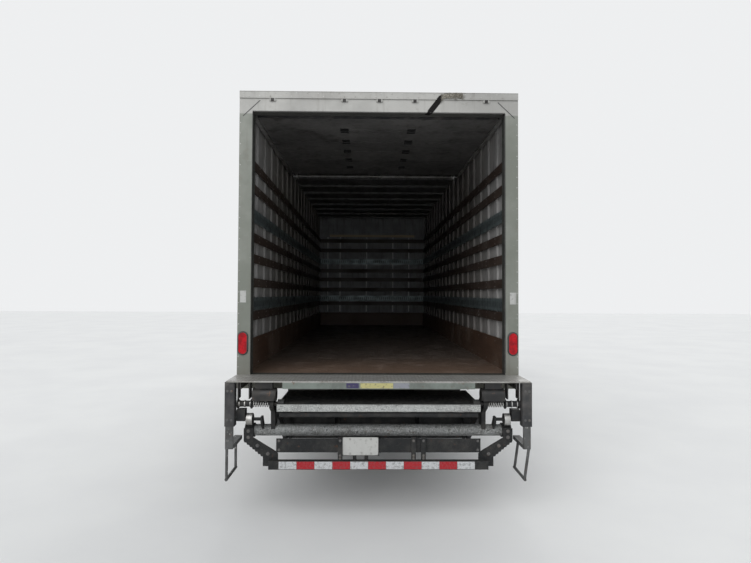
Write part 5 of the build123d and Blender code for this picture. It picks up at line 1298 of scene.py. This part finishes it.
def makeSeats():
    base, back, lean = seatLook["floor"], seatLook["back"], seatLook["lean"]
    for word, (x, width, heads) in seatLook["places"].items():
        middles = [x + (i - (heads - 1) / 2) * seatLook["pitch"] for i in range(heads)]
        addCushion(f"seat_cushion_{word}", (x, back + 0.535, base + 0.255), (width, 0.50, 0.120))
        addCushion(f"seat_back_{word}", (x, back + 0.205, base + 0.585), (width, 0.115, 0.62), lean, top=1)
        for i, headX in enumerate(middles):
            place = (headX, back + 0.152, base + 0.972)
            addCushion(f"head_rest_{word}_{i}", place, seatLook["headRest"], lean, (), 1)
        bm = bmesh.new()
        half = width / 2
        for inset, y0, y1, z0, z1, ease in seatLook["boxes"]:
            addSlab(bm, (x - half + inset, back + y0, base + z0), (x + half - inset, back + y1, base + z1), ease)
        for railX in (x - half + seatLook["railX"], x + half - seatLook["railX"]):
            foot = (railX - 0.020, back + 0.30, base + 0.0005)
            addSlab(bm, foot, (railX + 0.020, back + 0.74, base + 0.014), 0.003)
        for headX in middles:
            for post in (-seatLook["postX"], seatLook["postX"]):
                lathe(bm, (headX + post, back + 0.165, base + 0.86), (0, -0.13, 1), [(0.006, 0), (0.006, 0.06)], 10)
        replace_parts(newPiece(f"seat_base_{word}", bm, "chassis", blackPlastic), "seats")


makeSeats()
print("seats made")

# cab outside: handles, mirror faces, wipers, seals, grille surround, lamp rims, hood straps
mirrorSilver = bareMetal("mirrorSilver", {
    "colour": (0.80, 0.82, 0.84), "stain": (0.74, 0.76, 0.78), "rough": (0.03, 0.08), "metallic": 1.0,
    "rustEdge": 0.95, "specks": 0.0, "bump": 0.0,
})
cabLook = {
    "half": 1.020, "screen": 3.4, "rear": 2.852, "handle": (3.22, 1.655), "mirrorBack": 3.852,
    "mirrors": [(1.862, 2.132), (1.706, 1.846)], "mirrorRim": (1.700, 2.138), "mirrorX": (0.012, 0.138),
    # handle plate, grip and a rubber rub strip, from the handle's middle
    "handleSlabs": [
        (-0.001, -0.075, -0.035, 0.003, 0.075, 0.035, 0.004), (0.002, -0.062, 0.004, 0.022, 0.062, 0.024, 0.006),
        (-0.001, -0.090, -0.203, 0.006, 0.750, -0.177, 0.003),
    ],
    # wipers: pivot x, then arm and blade as (x from the pivot, way up the glass, distance off it)
    "wipers": {"left": -0.62, "right": 0.16},
    "arm": [(0.0, -0.055, 0.010), (0.02, -0.010, 0.042), (0.22, 0.20, 0.040)],
    "blade": [(-0.06, 0.045, 0.028), (0.22, 0.205, 0.030), (0.50, 0.365, 0.028)],
}


def makeDoorTrim(side, word):
    body = f"cab_door_{word}"
    outer = cabLook["half"]
    y, z = cabLook["handle"]
    bm = bmesh.new()
    for x0, y0, z0, x1, y1, z1, ease in cabLook["handleSlabs"]:
        addSlab(bm, (side * (outer + x0), y + y0, z + z0), (side * (outer + x1), y + y1, z + z1), ease)
    newPiece(f"door_handle_{word}", bm, body, blackPlastic)
    glassLow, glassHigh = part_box(f"door_glass_{word}")
    bm = bmesh.new()
    foot = (side * (outer - 0.034), glassLow.y + 0.002, glassLow.z + 0.0005)
    addSlab(bm, foot, (side * (outer - 0.012), glassHigh.y - 0.006, glassLow.z + 0.018), 0.004)
    newPiece(f"window_seal_{word}", bm, body, bumperRubber)

    # mirror glasses look backwards: a tall one above a short one, on a common rim
    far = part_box(f"door_{word}")[side > 0].x
    x0, x1 = sorted(far - side * inset for inset in cabLook["mirrorX"])
    back = cabLook["mirrorBack"]
    bm = bmesh.new()
    for z0, z1 in cabLook["mirrors"]:
        addSlab(bm, (x0, back - 0.003, z0), (x1, back + 0.001, z1), 0.002)
    newPiece(f"mirror_glass_{word}", bm, body, mirrorSilver)
    bm = bmesh.new()
    z0, z1 = cabLook["mirrorRim"]
    addSlab(bm, (x0 - 0.006, back - 0.002, z0), (x1 + 0.006, back + 0.0005, z1), 0.002)
    newPiece(f"mirror_rim_{word}", bm, body, blackPlastic)


def cornersOf(node):
    return [nodes[node].matrix_world @ v.co for v in nodes[node].data.vertices]


def readScreen():
    # the windscreen's corners from the lowest to the highest, and the ways up and out of the glass
    front = sorted((p for p in cornersOf("cab_glass") if p.y > cabLook["screen"]), key=lambda p: p.z)
    up = Vector((0, front[-1].y - front[0].y, front[-1].z - front[0].z)).normalized()
    return front, up, Vector((0, up.z, -up.y))


def makeWipers():
    front, up, outward = readScreen()
    low = front[0]
    for word, pivotX in cabLook["wipers"].items():
        for part, radius, material in (("arm", 0.006, blackPlastic), ("blade", 0.008, bumperRubber)):
            run = [Vector((pivotX + x, low.y, low.z)) + up * along + outward * off for x, along, off in cabLook[part]]
            newCurve(f"wiper_{part}_{word}", [run], radius, "chassis", material, True)


hoodLook = {
    "front": 5.400, "grille": ((-0.458, 0.458), (0.802, 1.248)), "rim": 0.028,
    # headlamp frame: two bars across, three upright; then the turn signals and hood straps
    "lamps": [
        (0.692, -0.060, 0.852, 1.008, -0.030, 0.866, 0.003), (0.692, -0.060, 1.044, 1.008, -0.030, 1.058, 0.003),
        (0.692, -0.060, 0.866, 0.706, -0.034, 1.044, 0.003), (0.994, -0.060, 0.866, 1.008, -0.034, 1.044, 0.003),
        (0.842, -0.060, 0.866, 0.850, -0.034, 1.044, 0.003),
    ],
    "signals": [(1.020, -0.100, 0.900, 1.090, -0.048, 1.010, 0.012)],
    "straps": [
        (0.882, -1.234, 1.270, 0.900, -1.204, 1.400, 0.004), (0.880, -1.240, 1.392, 0.902, -1.198, 1.412, 0.004),
    ],
    "reflectorX": (0.774, 0.922), "reflector": [(0.066, 0.0), (0.066, 0.006), (0.058, 0.010), (0.052, 0.004)],
}


def makeHoodTrim():
    front = hoodLook["front"]
    bm = bmesh.new()
    addFrame(bm, *hoodLook["grille"], (front - 0.012, front + 0.012), hoodLook["rim"], 0.006)
    newPiece("grille_surround", bm, "hood", tankMetal)
    lamps, reflectors, signals, straps = (bmesh.new() for i in range(4))
    for bm, key in ((lamps, "lamps"), (signals, "signals"), (straps, "straps")):
        addSlabs(bm, hoodLook[key], (0, front, 0), True)
    for x in hoodLook["reflectorX"]:
        both(lathe, reflectors, (x, front - 0.061, 0.955), (0, 1, 0), hoodLook["reflector"], 30)
    newPiece("headlamp_rims", lamps, "hood", blackPlastic)
    newPiece("headlamp_rings", reflectors, "hood", tankMetal)
    newPiece("turn_signals", signals, "hood", amberLens)
    newPiece("hood_straps", straps, "hood", bumperRubber)


for side, word in words.items():
    makeDoorTrim(side, word)
makeWipers()
makeHoodTrim()
print("cab trim made")

# cab inside: gauge cluster, vents, pedals and a gear lever
dashLook = {
    "vents": (-0.90, -0.10, 0.20, 0.86), "gauges": (-0.610, -0.540, -0.390, -0.320), "gaugeZ": 1.618,
    "ring": [(0.026, 0), (0.026, 0.004), (0.022, 0.005), (0.021, 0.001)],
    "bigRing": [(0.040, 0), (0.040, 0.004), (0.035, 0.005), (0.034, 0.001)],
    "panel": [(-0.660, -0.040, 1.565, -0.270, 0.070, 1.668, 0.008)],
    "vent": [(-0.055, -0.052, 1.520, 0.055, 0.030, 1.580, 0.004)],
    "slat": [(-0.050, -0.057, 1.527, 0.050, -0.050, 1.531, 0.001)], "slats": 4, "slatPitch": 0.013,
    # pedals: middle x, half width
    "pedals": [(-0.600, 0.030), (-0.470, 0.040), (-0.345, 0.025)],
    "leg": [(-0.008, 3.912, 1.270, 0.008, 4.078, 1.284, 0.002)],
    "deep": 0.060, "bigGauge": -0.465, "knobFoot": (-0.09, 3.66, 1.515),
    "lever": [(-0.06, 3.70, 1.122), (-0.06, 3.70, 1.30), (-0.09, 3.66, 1.52)],
    "knob": [(0.010, 0), (0.024, 0.012), (0.027, 0.030), (0.020, 0.046), (0.006, 0.052)],
}


def makeDashTrim():
    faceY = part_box("dashboard")[0].y + dashLook["deep"]
    bm = bmesh.new()
    addSlabs(bm, dashLook["panel"], (0, faceY, 0))
    for x in dashLook["vents"]:
        addSlabs(bm, dashLook["vent"], (x, faceY, 0))
        for k in range(dashLook["slats"]):
            addSlabs(bm, dashLook["slat"], (x, faceY, k * dashLook["slatPitch"]))
    newPiece("dash_panels", bm, "chassis", blackPlastic)
    rings = bmesh.new()
    y, z = faceY - 0.040, dashLook["gaugeZ"]
    for x in dashLook["gauges"]:
        lathe(rings, (x, y, z), backwards, dashLook["ring"], 24)
    lathe(rings, (dashLook["bigGauge"], y, z), backwards, dashLook["bigRing"], 30)
    newPiece("gauge_rings", rings, "chassis", tankMetal)
    pedals = bmesh.new()
    for x, half in dashLook["pedals"]:
        addSlab(pedals, (x - half, 3.905, 1.235), (x + half, 3.915, 1.310), 0.003)
        addSlabs(pedals, dashLook["leg"], (x, 0, 0))
    newPiece("pedals", pedals, "chassis", blackPlastic)
    newCurve("gear_lever", [dashLook["lever"]], 0.009, "chassis", bareSteel, True)
    knob = bmesh.new()
    lathe(knob, dashLook["knobFoot"], (0, 0, 1), dashLook["knob"], 20)
    newPiece("gear_knob", knob, "chassis", blackPlastic, True)


makeDashTrim()
print("dashboard trim made")

# chassis: tank straps and cap, step treads, air tanks, brake chambers, spring clips and frame rivets
underLook = {
    "railHalf": 0.430, "tankX": -0.750, "tankZ": 0.700, "tankRadius": 0.300, "capAngle": math.radians(58),
    "cap": [(0.048, 0), (0.048, 0.022), (0.052, 0.024), (0.052, 0.050), (0.046, 0.055), (0.012, 0.056)],
    "airX": 0.62, "airZ": 0.72, "airRadius": 0.135, "airFrom": {-1: 1.15, 1: -0.62},
    "airTank": [
        (0.02, 0.0), (0.07, 0.006), (0.110, 0.024), (0.135, 0.06), (0.135, 0.70), (0.110, 0.736), (0.07, 0.754),
        (0.02, 0.76),
    ],
    "chamber": [
        (0.03, 0), (0.075, 0.004), (0.088, 0.030), (0.094, 0.060), (0.100, 0.064), (0.100, 0.074), (0.094, 0.078),
        (0.088, 0.115), (0.088, 0.190), (0.075, 0.215), (0.03, 0.222),
    ],
    "chamberPlace": (0.36, -2.028, 0.515), "springX": 0.477, "clipRing": (0.045, 0.075),
    # spring clips at each axle: y, z from, z to
    "clips": [(-1.928, 0.40, 0.72), (4.522, 0.43, 0.66)], "rivetRows": (0.700, 0.800, 0.890), "rivetPitch": 0.34,
}


def strapRing(radius, foot, half, edge):
    # profile of a thin strap round a tank
    return [
        (radius + foot, -half), (radius + 0.003, edge - half), (radius + 0.003, half - edge), (radius + foot, half),
    ]


def makeTankTrim():
    bm, cap, treads = (bmesh.new() for i in range(3))
    tankLow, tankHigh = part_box("fuel_tank")
    x, z, r = underLook["tankX"], underLook["tankZ"], underLook["tankRadius"]
    for y in (tankHigh.y - 0.240, tankLow.y + 0.240):
        lathe(bm, (x, y, z), (0, 1, 0), strapRing(r, 0.0003, 0.026, 0.002), 48)
    newPiece("tank_straps", bm, "chassis", bumperRubber)
    angle = underLook["capAngle"]
    way = Vector((-math.cos(angle), 0, math.sin(angle)))
    lathe(cap, Vector((x, tankHigh.y - 0.15, z)) + way * (r - 0.004), way, underLook["cap"], 28)
    newPiece("tank_cap", cap, "chassis", tankMetal)
    for stepZ, inner in ((z - 0.162, x - r + 0.02), (z + 0.138, x - r - 0.008)):
        for k in range(9):
            y = tankHigh.y - 0.150 - k * 0.055
            addSlab(treads, (x - r - 0.055, y - 0.018, stepZ - 0.0005), (inner, y + 0.018, stepZ + 0.003), 0.001)
    newPiece("step_treads", treads, "chassis", tankMetal)


def makeUnderTrim():
    air, chambers, clips, rivets = (bmesh.new() for i in range(4))
    x, z, radius = underLook["airX"], underLook["airZ"], underLook["airRadius"]
    for side, start in underLook["airFrom"].items():
        lathe(air, (side * x, start, z), (0, 1, 0), underLook["airTank"], 30)
        for y in (start + 0.18, start + 0.58):
            lathe(air, (side * x, y, z), (0, 1, 0), strapRing(radius, 0.0005, 0.018, 0.001), 30)
            foot = (side * (underLook["railHalf"] - 0.002), y - 0.02, z + 0.06)
            addSlab(air, foot, (side * (x - 0.09), y + 0.02, z + 0.085), 0.003)
    newPiece("air_tanks", air, "chassis", chassisPaint)
    both(lathe, chambers, underLook["chamberPlace"], (0, -1, -0.12), underLook["chamber"], 26)
    newPiece("brake_chambers", chambers, "chassis", chassisPaint)
    springX, (clipX, clipY) = underLook["springX"], underLook["clipRing"]
    for axleY, z0, z1 in underLook["clips"]:
        for y in (axleY - clipY, axleY + clipY):
            for legX in (springX - clipX, springX + clipX):
                both(lathe, clips, (legX, y, z0), (0, 0, 1), [(0.009, 0), (0.009, z1 - z0)], 10)
                both(boltHead, clips, (legX, y, z0 + 0.004), (0, 0, -1), 0.028, 0.016)
            foot = (springX - 0.054, y - 0.009, z1 - 0.010)
            both(addSlab, clips, foot, (springX + 0.054, y + 0.009, z1 + 0.004), 0.004)
    newPiece("spring_clips", clips, "chassis", castIron)
    frameLow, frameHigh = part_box("frame")
    y = frameLow.y + 0.12
    while y < frameHigh.y - 0.1:
        for up in underLook["rivetRows"]:
            both(rivet, rivets, (underLook["railHalf"], y, up), outwards, 0.010, 0.005)
        y += underLook["rivetPitch"]
    newPiece("frame_rivets", rivets, "chassis", chassisPaint)


makeTankTrim()
makeUnderTrim()
print("chassis trim made")

# front bulkhead: upright seams and the pale board above its lining
bulkheadLook = {"uprights": [-1.065, -0.768, -0.134, 0.500, 0.885], "board": (3.285, 3.340), "half": 1.02}
paleBoard = boards("paleBoard", {
    "along": "X", "across": "Z", "width": 0.2, "light": (0.78, 0.66, 0.46), "dark": (0.52, 0.40, 0.25),
    "other": (0.66, 0.54, 0.36), "dust": (0.55, 0.48, 0.38), "worn": 0.4, "rough": (0.5, 0.8), "gap": 0.0,
})


def makeBulkheadTrim():
    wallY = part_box("wall_front")[0].y
    half, (boardLow, boardHigh) = bulkheadLook["half"], bulkheadLook["board"]
    board, uprights = bmesh.new(), bmesh.new()
    addSlab(board, (-half, wallY - 0.024, boardLow), (half, wallY + 0.0005, boardHigh), 0.003)
    newPiece("bulkhead_board", board, "chassis", paleBoard)
    for x in bulkheadLook["uprights"]:
        addSlab(uprights, (x - 0.016, wallY - 0.003, 1.490), (x + 0.016, wallY + 0.0005, 3.280), 0.001)
        for k in range(22):
            rivet(uprights, (x, wallY - 0.003, 1.53 + k * 0.079), backwards, 0.006, 0.002)
    newPiece("bulkhead_uprights", uprights, "chassis", bodySkin)


# a bare label on each rear post: x from, x to, z from, z to
postLabels = [(-1.272, -1.218, 1.830, 1.938), (1.216, 1.274, 1.822, 1.930)]
labelFilm = wornPaint("labelFilm", {
    "colour": (0.56, 0.56, 0.54), "faded": (0.40, 0.40, 0.385), "dirt": (0.09, 0.08, 0.07), "streaks": 0.3,
    "smudges": 0.6, "smudgeScale": 40, "chipEdge": 0.64, "chip": (0.20, 0.21, 0.20), "rough": (0.3, 0.55),
    "bump": 0.1,
})


def makePostLabels():
    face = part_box("rear_frame")[0].y + rearLook["step"]
    bm = bmesh.new()
    for x0, x1, z0, z1 in postLabels:
        addSlab(bm, (x0, face - 0.0009, z0), (x1, face + 0.0004, z1))
        addSlab(bm, (x0, face - 0.0014, z1 - 0.016), (x1, face - 0.0008, z1 - 0.008))
    newPiece("post_labels", bm, "chassis", labelFilm)


makeBulkheadTrim()
makePostLabels()
print("bulkhead and labels made")

# door pull strap thrown over the header, its end frayed to a pale tangle
strapLook = {
    "width": 0.050, "cut": 0.575, "lift": 0.0016, "across": 8, "opening": 3.602, "step": 0.006,
    "strands": 90, "strandPoints": 7, "strandX": (0.60, 0.775), "strandZ": (3.732, 3.786), "top": 3.787,
}


def strapCloth():
    # dark webbing with cross ribs, pale and fluffy where it has frayed
    g = Finish("strapCloth")
    ribs = remap(abs((g.z + g.x) % 0.004 - 0.002), 0, 0.002)
    frayed = remap(g.x + g.cloud(45, 6) * 0.03, strapLook["cut"] + 0.006, strapLook["cut"] + 0.026)
    dark = mixed(ribs, (0.008, 0.008, 0.008), (0.022, 0.020, 0.019))
    fluff = mixed(g.spots(0.35, 0.68, 110, 8, 0.75), (0.100, 0.090, 0.075), (0.50, 0.47, 0.40))
    g["Base Color"] = mixed(frayed, dark, fluff)
    g["Roughness"] = g.spots(0.3, 0.7, 70, 4, span=(0.82, 0.97))
    g["Specular IOR Level"] = 0.15
    g.relief(ribs + g.cloud(320, 5), 0.6, 0.002)
    return g.material


def strapPath():
    # corner points with the outward side at each: under the header, up its face, over the cap, then sideways
    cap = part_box("rear_frame")[0].y - strapLook["lift"]
    header, under = cap + rearLook["step"], strapLook["opening"]
    down, out = Vector((0, 0, -1)), Vector((0, -1, 0))
    inside = [
        ((0.448, header + 0.0616, under - strapLook["lift"]), down),
        ((0.466, header + 0.0076, under - strapLook["lift"]), down), ((0.470, header, under - 0.001), down + out),
    ]
    outside = [
        (0.474, header, under + 0.010), (0.538, header, 3.694), (0.554, cap - 0.0045, 3.716),
        (0.582, cap - 0.005, 3.748), (0.630, cap - 0.005, 3.757), (0.700, cap - 0.002, 3.761), (0.775, cap, 3.762),
    ]
    return [(Vector(p), n.normalized()) for p, n in inside + [(p, out) for p in outside]]


def strapRow(bm, samples, index):
    # one row of points across the strap, loosened and drawn in where it has frayed
    point, out = samples[index]
    before, after = samples[max(0, index - 4)][0], samples[min(len(samples) - 1, index + 4)][0]
    aside = (after - before).normalized().cross(out).normalized() * strapLook["width"] / 2
    row = []
    for k in range(strapLook["across"] + 1):
        u = 2 * k / strapLook["across"] - 1
        place = point + aside * u
        if point.x > strapLook["cut"]:
            place += out * (0.004 * abs(math.sin(place.x * 190 + k * 1.3)) + random.uniform(0, 0.0015))
            if k in (0, strapLook["across"]):
                place -= aside * u * random.uniform(0, 0.42)
        row.append(bm.verts.new(place))
    return row


def strand(face):
    # a loose thread that wanders from a random start
    run = []
    x = random.uniform(*strapLook["strandX"])
    z = random.uniform(*strapLook["strandZ"])
    way = random.uniform(-0.9, 0.5)
    for i in range(strapLook["strandPoints"]):
        run.append((x, face - random.uniform(0.002, 0.008), min(z, strapLook["top"])))
        way += random.uniform(-0.6, 0.6)
        x += 0.008 * math.cos(way)
        z += 0.005 * math.sin(way)
    return run


def makeStrap():
    path = strapPath()
    samples = []
    for (a, n), (b, m) in zip(path, path[1:]):
        count = max(2, int((b - a).length / strapLook["step"]))
        samples += [(a.lerp(b, i / count), n.lerp(m, i / count).normalized()) for i in range(count)]
    samples.append(path[-1])
    length = sum((b[0] - a[0]).length for a, b in zip(samples, samples[1:]))
    random.seed(11)
    bm = bmesh.new()
    bridge(bm, [strapRow(bm, samples, index) for index in range(len(samples))], False)
    cloth = strapCloth()
    strap = newPiece("pull_strap", bm, "chassis", cloth, True)
    runs = [strand(path[-1][0].y - 0.0005) for i in range(strapLook["strands"])]
    fray = newCurve("strap_fray", runs, 0.0009, "chassis", cloth, capped=False, sides=1)


makeStrap()
print("strap made")

# rubber gaskets round the windscreen, the rear window and the door windows, and grab bars beside the doors
gasketLook = {
    # section of the gasket: distance outwards from the pane's edge, height over its face
    "rows": [(-0.012, -0.008), (-0.012, 0.003), (0.001, 0.007), (0.013, 0.003), (0.013, -0.002)], "recess": 0.008,
}
grabLook = {"y": 2.975, "far": 0.045, "rises": (1.36, 1.36, 1.42, 1.98, 2.04, 2.04)}


def grown(points, distance):
    # a convex outline, given anticlockwise, with each side moved outwards
    result = []
    for i, here in enumerate(points):
        a = (here - points[i - 1]).normalized()
        b = (points[(i + 1) % len(points)] - here).normalized()
        normal = Vector((a.y, -a.x))
        way = (normal + Vector((b.y, -b.x))).normalized()
        result.append(here + way * distance / max(0.35, way.dot(normal)))
    return result


def hullOf(points):
    # convex outline of flat points, anticlockwise
    ordered = sorted({(round(p[0], 4), round(p[1], 4)) for p in points})
    def half(run):
        chain = []
        for p in run:
            while len(chain) > 1:
                (x0, y0), (x1, y1) = chain[-2], chain[-1]
                if (x1 - x0) * (p[1] - y0) - (y1 - y0) * (p[0] - x0) > 1e-9:
                    break
                chain.pop()
            chain.append(p)
        return chain[:-1]
    return [Vector(p) for p in half(ordered) + half(ordered[::-1])]


def addGasket(bm, flat, onFace):
    outline = hullOf(flat)
    rows = [[bm.verts.new(onFace(p.x, p.y, rise)) for p in grown(outline, grow)] for grow, rise in gasketLook["rows"]]
    bridge(bm, rows + rows[:1])


def makeScreenGaskets():
    front, up, outward = readScreen()
    face = max(p.dot(outward) for p in front) + gasketLook["recess"]
    bm = bmesh.new()
    def onScreen(across, along, rise):
        return Vector((across, 0, 0)) + up * along + outward * (face + rise)
    addGasket(bm, [(p.x, p.dot(up)) for p in front], onScreen)
    rear = [(p.x, p.z) for p in cornersOf("cab_glass") if p.y < cabLook["screen"]]
    addGasket(bm, rear, lambda across, along, rise: Vector((across, cabLook["rear"] - rise, along)))
    newPiece("screen_gaskets", bm, "chassis", bumperRubber)


def makeWindowGasket(side, word):
    bm = bmesh.new()
    pane = [(p.y, p.z) for p in cornersOf(f"door_glass_{word}")]
    addGasket(bm, pane, lambda across, along, rise: Vector((side * (cabLook["half"] + rise), across, along)))
    newPiece(f"window_gasket_{word}", bm, f"cab_door_{word}", bumperRubber)


def makeGrabBar(side, word):
    inner, outer = side * (cabLook["half"] - 0.002), side * (cabLook["half"] + grabLook["far"])
    places = zip((inner, outer, outer, outer, outer, inner), grabLook["rises"])
    run = [(x, grabLook["y"], z) for x, z in places]
    newCurve(f"grab_bar_{word}", [run], 0.013, "chassis", tankMetal, True)


makeScreenGaskets()
for side, word in words.items():
    makeWindowGasket(side, word)
    makeGrabBar(side, word)
print("gaskets and grab bars made")
